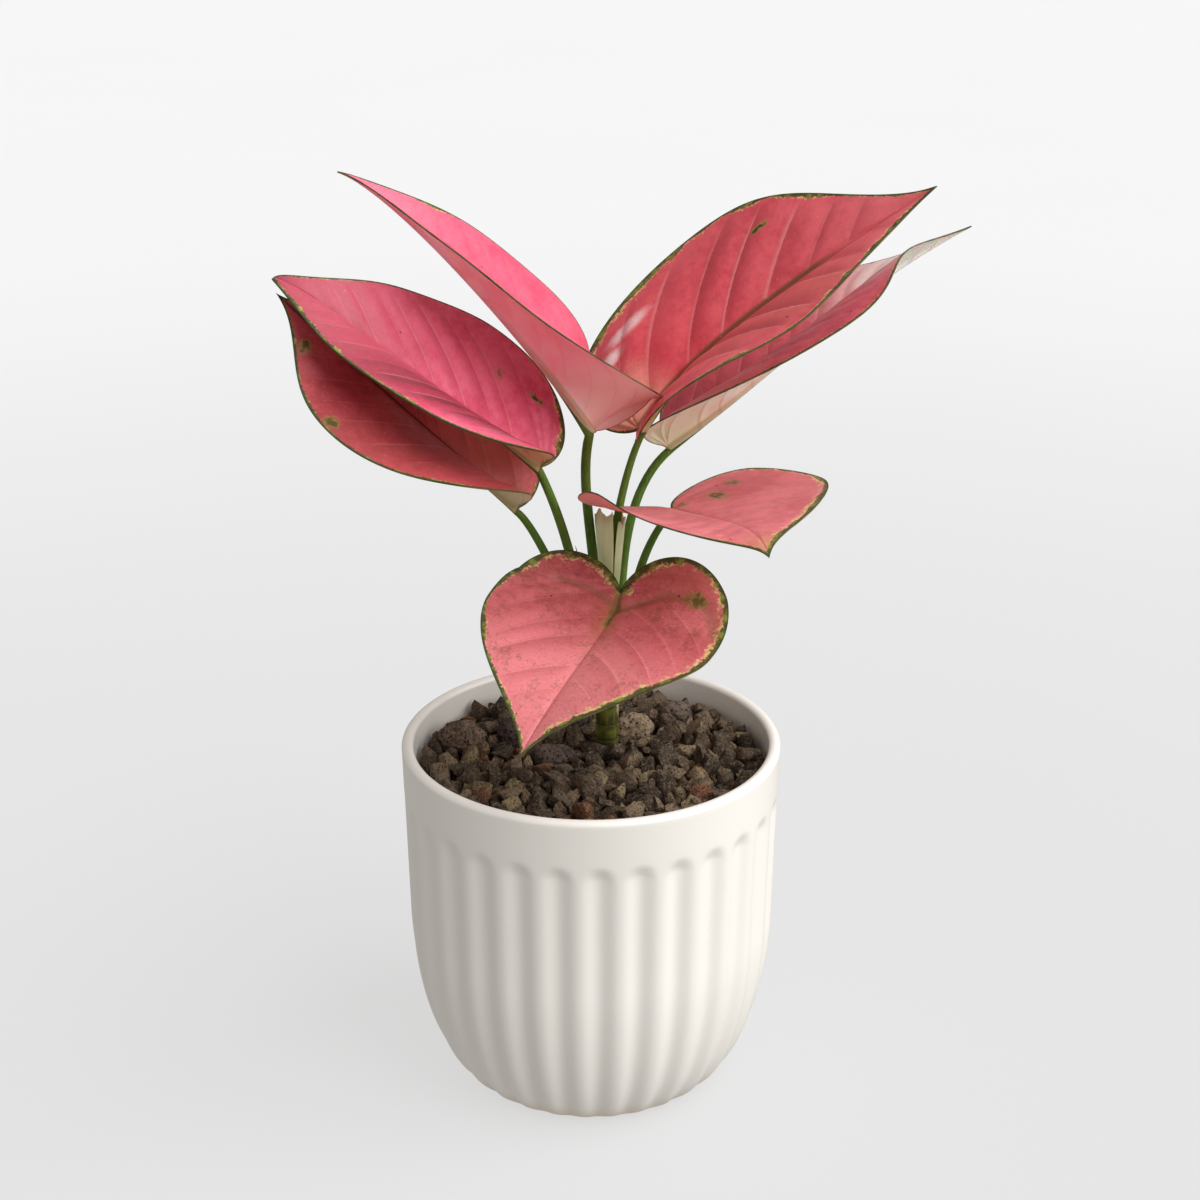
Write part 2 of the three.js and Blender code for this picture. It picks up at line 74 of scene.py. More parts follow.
def addDisc(columns, radius, at=(0, 0, 0), turn=0):  # in edit mode, ready to be drawn up into a solid
    piece = add(
        bpy.ops.mesh.primitive_circle_add,
        vertices=columns,
        radius=radius * mm,
        fill_type="NGON",
        location=[value * mm for value in at],
        rotation=(0, 0, math.radians(turn)),
    )
    bpy.ops.object.transform_apply()
    editAll(piece)
    return piece


def drawRing(rise, grow, centre=(0, 0, 0)):  # the disc moves up and leaves a wall behind
    bpy.ops.mesh.extrude_region_move(TRANSFORM_OT_translate={"value": (0, 0, rise * mm)})
    bpy.ops.transform.resize(value=(grow, grow, 1), center_override=centre)


def drawUp(foot, rings, centre=(0, 0, 0)):  # radius and height of the foot, then of each ring
    for (radius, height), (nextRadius, nextHeight) in zip([foot, *rings], rings):
        drawRing(nextHeight - height, nextRadius / radius, centre)


def closeEnds():  # both discs become fans, and every face turns outwards
    bpy.ops.mesh.select_all(action="DESELECT")
    bpy.ops.mesh.select_face_by_sides(number=4, type="GREATER")
    bpy.ops.mesh.poke()
    bpy.ops.mesh.select_all(action="SELECT")
    bpy.ops.mesh.normals_make_consistent(inside=False)
    bpy.ops.object.mode_set(mode="OBJECT")


def thicken(piece, thickness, offset=-1):
    wall = piece.modifiers.new("wall", "SOLIDIFY")
    wall.thickness = thickness * mm
    wall.offset = offset
    return wall


def applyModifiers(piece):
    for modifier in list(piece.modifiers):
        bpy.ops.object.modifier_apply(modifier=modifier.name)


def hand(piece, name, node, paint, angle=180):  # the piece is done; edges bent more than angle stay sharp
    bpy.ops.object.shade_smooth_by_angle(angle=math.radians(angle))
    if paint:
        piece.data.materials.clear()
        piece.data.materials.append(paint)
    piece.name = name
    piece.data.name = name
    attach(piece, "root")
    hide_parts(node)
    print(name, "ready:", len(piece.data.polygons), "faces")


def colour(code):  # a colour picker's six digits as the linear colour that shaders take
    parts = [int(code[i : i + 2], 16) / 255 for i in (0, 2, 4)]
    return (*[c / 12.92 if c < 0.04045 else ((c + 0.055) / 1.055) ** 2.4 for c in parts], 1)


class Wire:  # one output of a node, so that maths on it reads as a plain expression
    def __init__(self, paint, socket):
        self.paint = paint
        self.socket = socket

    def __add__(self, other):
        return self.paint.maths("ADD", self, other)

    def __sub__(self, other):
        return self.paint.maths("SUBTRACT", self, other)

    def __rsub__(self, other):
        return self.paint.maths("SUBTRACT", other, self)

    def __mul__(self, other):
        return self.paint.maths("MULTIPLY", self, other)

    def __truediv__(self, other):
        return self.paint.maths("DIVIDE", self, other)

    def __pow__(self, other):
        return self.paint.maths("POWER", self, other)

    def __abs__(self):
        return self.paint.maths("ABSOLUTE", self)

    __radd__ = __add__
    __rmul__ = __mul__


class Paint:  # a material and its nodes; base is its colour so far
    def __init__(self, name, code):
        self.material = bpy.data.materials.new(name)
        self.material.use_nodes = True
        self.tree = self.material.node_tree
        self.tree.nodes.clear()
        self.base = colour(code)

    def node(self, kind, settings={}, sockets={}, output=0):
        made = self.tree.nodes.new(kind)
        for key, value in settings.items():
            if key == "stops":
                stops = made.color_ramp.elements
                while len(stops) < len(value):
                    stops.new(1)
                for stop, (place, shade) in zip(stops, value):
                    stop.position = place
                    stop.color = shade
            else:
                setattr(made, key, value)
        for key, value in sockets.items():
            if isinstance(value, Wire):
                self.tree.links.new(value.socket, made.inputs[key])
            else:
                made.inputs[key].default_value = value
        return Wire(self, made.outputs[output]) if made.outputs else None

    def maths(self, operation, first, second=0.0):
        return self.node("ShaderNodeMath", {"operation": operation}, {0: first, 1: second})

    def smooth(self, value, start, end):  # 0 before start, 1 after end; start may be the larger
        settings = {"interpolation_type": "SMOOTHSTEP"}
        return self.node("ShaderNodeMapRange", settings, {"Value": value, "From Min": start, "From Max": end})

    def mix(self, share, first, second):
        return self.node("ShaderNodeMix", {"data_type": "RGBA"}, {0: share, 6: first, 7: second}, 2)

    def coat(self, share, code):  # the next colour, laid over the base by its share
        self.base = self.mix(share, self.base, colour(code))

    def noise(self, at, scale, detail=2.0, roughness=0.5):
        sockets = {"Vector": at, "Scale": scale, "Detail": detail, "Roughness": roughness}
        return self.node("ShaderNodeTexNoise", {}, sockets)

    def cells(self, at, scale):
        return self.node("ShaderNodeTexVoronoi", {}, {"Vector": at, "Scale": scale})

    def place(self):  # object coordinates, in metres
        return self.node("ShaderNodeTexCoord", output="Object")

    def map(self, name):
        return self.node("ShaderNodeUVMap", {"uv_map": name})

    def axes(self, vector):
        split = self.node("ShaderNodeSeparateXYZ", sockets={0: vector}).socket.node
        return [Wire(self, split.outputs[i]) for i in range(3)]

    def vector(self, x, y, z=0.0):
        return self.node("ShaderNodeCombineXYZ", sockets={0: x, 1: y, 2: z})

    def attribute(self, name):
        return self.node("ShaderNodeAttribute", {"attribute_name": name}, output="Fac")

    def surface(self, roughness, relief=None, sockets={}):  # relief: height, its depth in metres, strength
        sockets = {"Base Color": self.base, "Roughness": roughness, **sockets}
        if relief:
            bump = dict(zip(("Height", "Distance", "Strength"), relief))
            sockets["Normal"] = self.node("ShaderNodeBump", {}, bump)
        shader = self.node("ShaderNodeBsdfPrincipled", {}, sockets)
        self.node("ShaderNodeOutputMaterial", {}, {"Surface": shader})
        return self.material


# the pot: one shell drawn up the outside, over the lip and down the inside
pot = {
    "height": 128, "lip": 66, "base": 41, "shoulder": 64.8, "shoulderHeight": 64, "shoulderPower": 1.88,
    "wall": 4.2, "lipRounding": 1.8, "floor": 8, "floorInset": 13, "floorRise": 4, "dish": 12, "flutes": 30,
    "fluteDepth": 1.7, "fluteTop": 112, "grooveNarrowing": 1.2, "fluteArch": 6, "archWidth": 1.9,
    "fluteFade": 6, "firstFlute": 2.6, "columnsPerFlute": 16, "footRings": 28, "footCrowding": 1.6,
    "bandRings": [72, 80, 88, 94, *[98 + 0.7 * i for i in range(21)], 114, 118, 122, 124.5], "lipRings": 14,
    "innerRings": [124, 120, 116, 112, 90], "glaze": "f3efe9", "thinGlaze": "dcc9ab", "bareClay": "b39a7c",
    "roughness": 0.3,
}


def outerRadius(z):
    if z < pot["shoulderHeight"]:
        below = (1 - z / pot["shoulderHeight"]) ** pot["shoulderPower"]
        swell = (1 - below) ** (1 / pot["shoulderPower"])
        return pot["base"] + (pot["shoulder"] - pot["base"]) * swell
    climb = (z - pot["shoulderHeight"]) / (pot["height"] - pot["shoulderHeight"])
    return pot["shoulder"] + (pot["lip"] - pot["shoulder"]) * climb


def innerRadius(z):
    return outerRadius(max(z, pot["shoulderHeight"])) - pot["wall"]


def fluteSink(share, z):  # share of the pitch from a groove's middle, 0 to 0.5
    if z >= pot["fluteTop"]:
        return 0
    groove = ((1 + math.cos(2 * math.pi * share)) / 2) ** pot["grooveNarrowing"]
    archDrop = pot["fluteArch"] * (1 - math.sqrt(1 - (pot["archWidth"] * share) ** 2))
    fadeIn = min(max((pot["fluteTop"] - archDrop - z) / pot["fluteFade"], 0), 1)
    fadeOut = min(z / pot["fluteFade"], 1)
    return pot["fluteDepth"] * groove * fadeIn * fadeIn * (3 - 2 * fadeIn) * fadeOut


def potRings():  # radius, height and whether the flutes reach it
    count = pot["footRings"]
    outside = [pot["shoulderHeight"] * (i / count) ** pot["footCrowding"] for i in range(1, count + 1)]
    rings = [(outerRadius(z), z, True) for z in outside + pot["bandRings"]]
    for i in range(pot["lipRings"] + 1):
        angle = math.pi * i / pot["lipRings"]
        radius = pot["lip"] + pot["wall"] / 2 * (math.cos(angle) - 1)
        rings.append((radius, pot["height"] - pot["lipRounding"] * (1 - math.sin(angle)), False))
    rings += [(innerRadius(z), z, False) for z in pot["innerRings"]]
    for share in (0, 0.5, 1):
        z = pot["shoulderHeight"] + (pot["floor"] + pot["floorRise"] - pot["shoulderHeight"]) * share
        rings.append((innerRadius(0) - pot["floorInset"] * share, z, False))
    return [*rings, (pot["dish"], pot["floor"] + 1, False)]


def sinkRing(piece, ratios):  # the selected ring goes in at each groove and stays out on the ridges
    mesh = bmesh.from_edit_mesh(piece.data)
    pitch = 2 * math.pi / pot["flutes"]
    for vertex in (v for v in mesh.verts if v.select):
        turn = (math.atan2(vertex.co.x, -vertex.co.y) - math.radians(pot["firstFlute"])) / pitch
        step = round(abs(turn - round(turn)) * pot["columnsPerFlute"])
        vertex.co.x *= ratios[step]
        vertex.co.y *= ratios[step]
    bmesh.update_edit_mesh(piece.data)


def buildPot():
    piece = addDisc(pot["flutes"] * pot["columnsPerFlute"], pot["base"], turn=pot["firstFlute"])
    shares = [i / pot["columnsPerFlute"] for i in range(pot["columnsPerFlute"] // 2 + 1)]
    ratios = [1.0] * len(shares)
    radius, height = pot["base"], 0
    for nextRadius, nextHeight, fluted in potRings():
        drawRing(nextHeight - height, nextRadius / radius)
        wanted = [1 - fluted * fluteSink(share, nextHeight) / nextRadius for share in shares]
        if any(abs(a - b) > 1e-7 for a, b in zip(wanted, ratios)):
            sinkRing(piece, [a / b for a, b in zip(wanted, ratios)])
            ratios = wanted
        radius, height = nextRadius, nextHeight
    closeEnds()
    hand(piece, "pot_shell", "pot", glazePaint())


def glazePaint():
    paint = Paint("white_glaze", pot["glaze"])
    at = paint.place()
    z = paint.axes(at)[2]
    cloud = paint.noise(at, 22)
    thin = paint.smooth(z + cloud * 0.003, 0.0125, 0.002)  # the glaze runs thin towards the foot
    paint.coat(thin * 0.75, pot["thinGlaze"])
    speck = paint.smooth(paint.noise(at, 900, 1), 0.74, 0.8)
    paint.coat(speck * 0.12, pot["bareClay"])
    foot = paint.smooth(z + cloud * 0.001, 0.0028, 0.0012)
    paint.coat(foot * 0.8, pot["bareClay"])
    ripple = paint.noise(at, 60, 1) * 0.7 + paint.noise(at, 400) * 0.06
    roughness = pot["roughness"] + cloud * 0.1 + foot * 0.4
    return paint.surface(roughness, (ripple, 0.0001, 0.4), {"Coat Weight": 0.25, "Coat Roughness": 0.12})


# Lava gravel, the larger stones that lie on it, and the cane that stands in it. Sizes: radius and how many
# chips are tried. Layers: how deep each lies, and what those numbers are divided by in it.
gravel = {
    "level": 117.2, "wallGap": 0.6, "sizes": [(5.0, 22), (4.1, 80), (3.2, 190), (2.4, 360), (1.8, 400)],
    "layers": [(0, 1), (3.4, 2)], "tries": 30, "crowding": 0.8, "lift": (-0.7, 0.9), "flatness": (0.6, 0.85),
    "shapes": 9, "breaks": 7, "shades": ["3a3027", "574839", "6e5b49", "86725b", "94835f", "7a4f38"],
    "shadeStops": [0.0, 0.3, 0.56, 0.78, 0.92, 0.97], "dark": "1f1813", "pale": "a3907a",
    "fillFoot": (46.8, 12.4),
    "fill": [(59.9, 64.6), (60.5, 90), (60.9, 113.4), (50, 114.4), (30, 114.6), (12, 114.4)],
    # the fill under the chips is painted darker than any chip, as shade in the gaps between them
    "fillInShade": ("1d1715", "3a2f2a"), "relief": 0.0014,
}
stones = {
    "brown": {"at": (-46, 16), "size": (9.2, 7.6, 6.4), "turn": 12, "shades": ("4a3a30", "8b7461")},
    "dark": {"at": (-29, 21), "size": (6.2, 5.4, 6.2), "turn": 50, "shades": ("2b2323", "594a45")},
    "slab": {"at": (-14, 4), "size": (9.5, 5.6, 4.2), "turn": -8, "shades": ("352b28", "67574e")},
    "tan": {"at": (15.5, 25), "size": (8, 6.4, 6), "turn": 24, "shades": ("6b5845", "a8927a")},
    "behind": {"at": (-6, 33), "size": (7, 6, 6), "turn": 70, "shades": ("33292a", "6b5b52")},
    "right": {"at": (31, 39), "size": (6, 5, 5.2), "turn": -30, "shades": ("43362c", "75655a")},
}
stoneWear = {
    "seat": 116.4, "sink": 0.45, "core": 0.97, "bumps": ((7, 2.2), (2.2, 0.9), (0.8, 0.35)), "middle": 0.55,
}
cane = {
    "at": (5.6, 14), "radius": 4.2, "top": 155, "foot": 98, "scars": [121, 127, 134, 142, 150],
    "scarRings": [(0.97, -0.6), (0.99, -0.3), (0.89, -0.1), (0.89, 0.15), (0.94, 0.45)],
    "topRings": [(0.93, -0.8), (0.75, -0.2), (0.4, 0)], "columns": 48, "skin": "5f6322", "shade": "3c3a16",
    "sheen": "8b9040", "scar": "2f2a10", "huskHighlight": "d3cba4",
}
dull = {"Specular IOR Level": 0.25}


def chipShape(number):  # a lump of lava with a few dozen faces, broken flat on several sides
    piece = add(bpy.ops.mesh.primitive_cube_add, size=2)
    editAll(piece)
    bpy.ops.mesh.subdivide(number_cuts=2)
    bpy.ops.transform.tosphere(value=0.7)
    dice = random.Random(number)
    mesh = bmesh.from_edit_mesh(piece.data)
    for cut in range(gravel["breaks"]):
        normal = Vector([dice.uniform(-1, 1) for i in range(3)]).normalized()
        reach = dice.uniform(0.5, 0.8)
        for vertex in mesh.verts:
            over = vertex.co.dot(normal) - reach
            if over > 0:
                vertex.co -= normal * over * 0.95
    for vertex in mesh.verts:
        vertex.co *= dice.uniform(0.88, 1.14)
    bmesh.update_edit_mesh(piece.data)
    bpy.ops.object.mode_set(mode="OBJECT")
    return piece


def findSpot(dice, drop, radius, taken):  # a place on the bed where a chip is clear of the others
    blocked = [(*cane["at"], cane["radius"])]
    blocked += [(*stone["at"], sum(stone["size"][:2]) / 2) for stone in stones.values()]
    wall = innerRadius(gravel["level"] - drop) - gravel["wallGap"] - radius * 0.9
    for attempt in range(gravel["tries"]):
        away, turn = wall * math.sqrt(dice.random()), dice.uniform(0, 2 * math.pi)
        x, y = away * math.cos(turn), away * math.sin(turn)
        if any(math.hypot(x - a, y - b) < r + radius * 0.7 for a, b, r in blocked):
            continue
        if all(math.hypot(x - a, y - b) >= gravel["crowding"] * (r + radius) for a, b, r in taken):
            return x, y


def chipSpots():  # place and radius of each chip, large ones first, none far into its neighbours
    dice = random.Random(5)
    spots = []
    for drop, fewer in gravel["layers"]:
        taken = []
        for radius, count in gravel["sizes"]:
            for i in range(count // fewer):
                spot = findSpot(dice, drop, radius, taken)
                if spot:
                    taken.append((*spot, radius))
                    lift = dice.uniform(*gravel["lift"]) + radius * 0.25
                    spots.append((*spot, gravel["level"] - drop + lift, radius))
    return spots


def buildGravel():
    shapes = [chipShape(number) for number in range(gravel["shapes"])]
    dice = random.Random(8)
    chips = []
    for x, y, z, radius in chipSpots():
        chip = random.Random(len(chips)).choice(shapes).copy()
        chip.data = chip.data.copy()
        squash = dice.uniform(*gravel["flatness"])
        chip.scale = [radius * mm * s for s in (dice.uniform(1, 1.25), dice.uniform(0.8, 1), squash)]
        chip.rotation_euler = [dice.uniform(0, 6.28) for i in range(3)]
        chip.location = (x * mm, y * mm, z * mm)
        tint = chip.data.attributes.new("chipTint", "FLOAT", "POINT")
        tint.data.foreach_set("value", [dice.random()] * len(chip.data.vertices))
        bpy.context.collection.objects.link(chip)
        chips.append(chip)
    for shape in shapes:
        bpy.data.objects.remove(shape)
    bpy.ops.object.select_all(action="DESELECT")
    for chip in chips:
        chip.select_set(True)
    bpy.context.view_layer.objects.active = chips[0]
    bpy.ops.object.join()
    bpy.ops.object.transform_apply()
    print("gravel:", len(chips), "chips")
    hand(bpy.context.object, "gravel_chips", "gravel_bed", gravelPaint(), 38)


def buildGravelFill():  # what lies under the chips, down to the pot's floor
    radius, height = gravel["fillFoot"]
    piece = addDisc(96, radius, (0, 0, height))
    drawUp(gravel["fillFoot"], gravel["fill"])
    closeEnds()
    # painted shade: the fill shows only in the gaps between chips, so it is coloured darker than they are
    paint = lavaPaint("gravel_fill_shaded", gravel["fillInShade"], 0.6)
    hand(piece, "gravel_fill", "gravel_bed", paint, 30)


def gravelPaint():
    paint = Paint("lava_chips", gravel["dark"])
    at = paint.place()
    stops = zip(gravel["shadeStops"], [colour(shade) for shade in gravel["shades"]])
    tint = {"Fac": paint.attribute("chipTint")}
    paint.base = paint.node("ShaderNodeValToRGB", {"stops": list(stops)}, tint)
    grain, lump = paint.noise(at, 1100, 4, 0.7), paint.noise(at, 330)
    # pits: small holes that the bump sinks, darkened with painted shade
    pits = paint.smooth(paint.cells(at, 1300), 0.36, 0.14)
    paint.coat(paint.smooth(grain, 0.46, 0.7) * 0.55, gravel["pale"])
    paint.coat(paint.smooth(lump, 0.5, 0.32) * 0.55, gravel["dark"])
    paint.coat(pits * 0.85, gravel["dark"])
    height = grain * 0.8 + lump * 0.5 - pits * 0.9
    return paint.surface(0.8 + grain * 0.2, (height, gravel["relief"], 1), dull)


def lavaPaint(name, shades, contrast):
    paint = Paint(name, shades[0])
    at = paint.place()
    grain, lump = paint.noise(at, 700, 5, 0.7), paint.noise(at, 160, 3)
    # pits: small holes that the bump sinks, darkened with painted shade
    pits = paint.smooth(paint.cells(at, 620), 0.36, 0.16)
    paint.coat(paint.smooth(grain * 0.6 + lump * 0.4, 0.38, 0.6), shades[1])
    paint.coat(pits * contrast, gravel["dark"])
    height = grain * 0.8 + lump * 0.6 - pits
    return paint.surface(0.8 + grain * 0.18, (height, gravel["relief"], 1), dull)


def buildStone(name, stone):
    middle = stoneWear["seat"] + stone["size"][2] * stoneWear["sink"]
    piece = add(
        bpy.ops.mesh.primitive_ico_sphere_add,
        subdivisions=5,
        radius=1,
        scale=[size * mm * stoneWear["core"] for size in stone["size"]],
        rotation=(0, 0, math.radians(stone["turn"])),
        location=[value * mm for value in (*stone["at"], middle)],
    )
    bpy.ops.object.transform_apply()
    for size, depth in stoneWear["bumps"]:
        texture = bpy.data.textures.new(f"lava_{name}_{size}", "CLOUDS")
        texture.noise_scale = size * mm
        wear = piece.modifiers.new("wear", "DISPLACE")
        wear.texture = texture
        wear.strength = depth * mm
        wear.mid_level = stoneWear["middle"]
    applyModifiers(piece)
    editAll(piece)
    seat = (0, 0, stoneWear["seat"] * mm)
    bpy.ops.mesh.bisect(plane_co=seat, plane_no=(0, 0, 1), clear_inner=True, use_fill=True)
    bpy.ops.object.mode_set(mode="OBJECT")
    paint = lavaPaint(f"lava_{name}", stone["shades"], 0.7)
    hand(piece, f"stone_{name}_lava", f"stone_{name}", paint, 40)


def buildCane():
    foot, top, scars = cane["foot"], cane["top"], cane["scars"]
    rings = []
    for low, high in zip([foot, *scars], [*scars, top - 1.5]):
        for share in (0.2, 0.4, 0.6, 0.8):
            rings.append((0.95 + 0.06 * math.sin(math.pi * share), low + (high - low) * share))
        if high in scars:
            rings += [(width, high + step) for width, step in cane["scarRings"]]
    rings += [(width, top + step) for width, step in cane["topRings"]]
    piece = addDisc(cane["columns"], cane["radius"], (*cane["at"], foot))
    drawUp((1, foot), rings, (cane["at"][0] * mm, cane["at"][1] * mm, 0))
    closeEnds()
    hand(piece, "cane_stem", "cane", canePaint())


def canePaint():
    paint = Paint("cane_bark", cane["shade"])
    at = paint.place()
    x, y, z = paint.axes(at)
    streak = paint.noise(paint.vector(x, y, z * 0.08), 1400)
    blot = paint.noise(at, 260, 3)
    paint.coat(paint.smooth(blot, 0.35, 0.65), cane["skin"])
    paint.coat(paint.smooth(streak, 0.5, 0.75) * 0.4, cane["sheen"])
    ring = 0.0
    for height in cane["scars"]:
        near = paint.smooth(abs(z - (height + 0.05) * mm), 0.0005, 0.0002)
        ring = paint.maths("MAXIMUM", near, ring)
    paint.coat(ring * (0.4 + blot * 0.6), cane["scar"])
    # a cream strip down the cane's right side, which faces the sun: a painted highlight in the colour of a
    # papery husk
    right = cane["at"][0]
    huskHighlight = paint.smooth(x + blot * 0.002, (right + 3.9) * mm, (right + 4.9) * mm)
    paint.coat(huskHighlight * paint.smooth(z, 0.128, 0.134) * streak * 0.8, cane["huskHighlight"])
    return paint.surface(0.5 + blot * 0.2 + ring * 0.2, (streak * 0.5 + blot, 0.0004, 0.6), dull)


# Leaves: a midrib drawn as a curve, and two halves laid along it that fold and curl on their own.
# Halves, -1 for the left and 1 for the right: fold at the base and at the tip and curl of the margin,
# in degrees, and how far the lobe reaches back. Roll: at the base and at the tip. Stalks: where round
# the cane, how high, the ways in which they leave the cane and reach the blade, and their two radii.
blade = {
    "rows": 132, "columns": 26, "thickness": 0.5, "keel": 1.5, "keelWidth": 1.1, "lobeShare": 0.4,
    "lobeReach": 1.33, "lobeRound": 1.1, "bellyReach": 0.32, "tipReach": 0.8, "cleft": 0.25, "veinLag": 1.5,
    "veinCurve": 1.4, "waves": 2.6, "waveOffset": 0.3, "stagger": 0.47, "wander": 0.16, "creaseDepth": 0.35,
    "foldDepth": 0.9, "outline": "33401a", "rimShade": "2d3a14", "ribUnder": "a9a368", "leafGreen": "36491a",
    "paleGreen": "86903a", "brown": "7d5228", "cream": "e6d08e", "paleVein": "f2a8a6", "dot": "7a1226",
}
stalks = {
    "ring": cane["radius"] + 2.25, "claspHeight": 24, "clasp": 2.6, "highest": 150, "nesting": 0.1,
    "green": "56752a", "shade": "3b5518", "pale": "86a04a",
}
leaves = {
    "left_upper": {
        "midrib": [(-16, -5, 228), (-43, -15, 255), (-97, -26, 301), (-101, -9, 292)], "roll": (-9, -17),
        "halfWidth": 36, "widest": 0.32, "tip": 0.15, "wave": 0.9,
        "halves": {-1: (32, -10, -11, -0.04), 1: (50, 19, -23, 0.06)}, "turn": 225, "height": 148,
        "leave": (-4, -2, 26.5), "arrive": (-10, -6, 24.5), "radii": (1.9, 1.4),
    },
    "left_lower": {
        "midrib": [(-24, 0, 212), (-50, -8, 239), (-67, -24, 261), (-99, -15, 289)], "roll": (-8, -29),
        "halfWidth": 39, "widest": 0.44, "tip": 0.12, "wave": 0.9,
        "halves": {-1: (32, -30, -4, -0.04), 1: (46, 24, -12, 0.05)}, "turn": 175, "height": 145,
        "leave": (-4, 0, 23.5), "arrive": (-6, -4, 6), "radii": (1.8, 1.2),
    },
    "centre": {
        "midrib": [(0, 4, 238), (-6, -4, 255), (-61, 9, 317), (-82, 19, 321)], "roll": (14, 0),
        "halfWidth": 35, "widest": 0.27, "tip": 0.12, "wave": 0.7,
        "halves": {-1: (60, 26, -50, 0.06), 1: (50, 19, -32, 0)}, "turn": 135, "height": 141,
        "leave": (4.6, 3.4, 38), "arrive": (5, -12, 25.5), "radii": (1.9, 1.6),
    },
    "right_upper": {
        "midrib": [(17, 21, 233), (31, 23, 261), (79, 19, 292), (111, 10, 318)], "roll": (12, 26),
        "halfWidth": 43, "widest": 0.35, "tip": 0.16, "wave": 1.0,
        "halves": {-1: (38, 33, -19, 0.08), 1: (30, 6, -8, 0.03)}, "turn": -46, "height": 152,
        "leave": (-9, -3, 26), "arrive": (6.4, 0.5, 9.8), "radii": (1.8, 1.1),
    },
    "right_lower": {
        "midrib": [(27, 41, 221), (72, 35, 257), (91, 76, 268), (134, 73, 292)], "roll": (-8, -18),
        "halfWidth": 36, "widest": 0.42, "tip": 0.13, "wave": 0.8,
        "halves": {-1: (42, 10, -18, 0.02), 1: (48, 30, -60, 0.04)}, "turn": 45, "height": 143,
        "leave": (0, 5, 26), "arrive": (19, 5, 15), "radii": (1.9, 1.4),
    },
    "small_right": {
        "midrib": [(27, 10, 209), (46, -17, 213), (52, -50, 225), (55, -63, 218)], "roll": (3, 6),
        "halfWidth": 42, "widest": 0.29, "tip": 0.13, "wave": 0.6,
        "halves": {-1: (6, 3, 6, 0.14), 1: (-2, -7, 50, 0.24)}, "turn": -5, "height": 147,
        "leave": (1, 0, 29), "arrive": (9.5, -7, 15), "radii": (1.8, 1.2), "drop": 0.7,
    },
    "front": {
        "midrib": [(10, -12, 188), (7.6, -26, 178.5), (-6, -50, 177.5), (-22, -75, 156)], "roll": (-3, 2),
        "halfWidth": 40, "widest": 0.31, "tip": 0.15, "wave": 0.6,
        "halves": {-1: (3, 17, -10, 0.23), 1: (8, 15, 4, 0.19)}, "turn": -95, "height": 149,
        "leave": (0, -1, 14), "arrive": (-1, -9, 5), "radii": (1.9, 1.4), "drop": 1.5,
    },
}
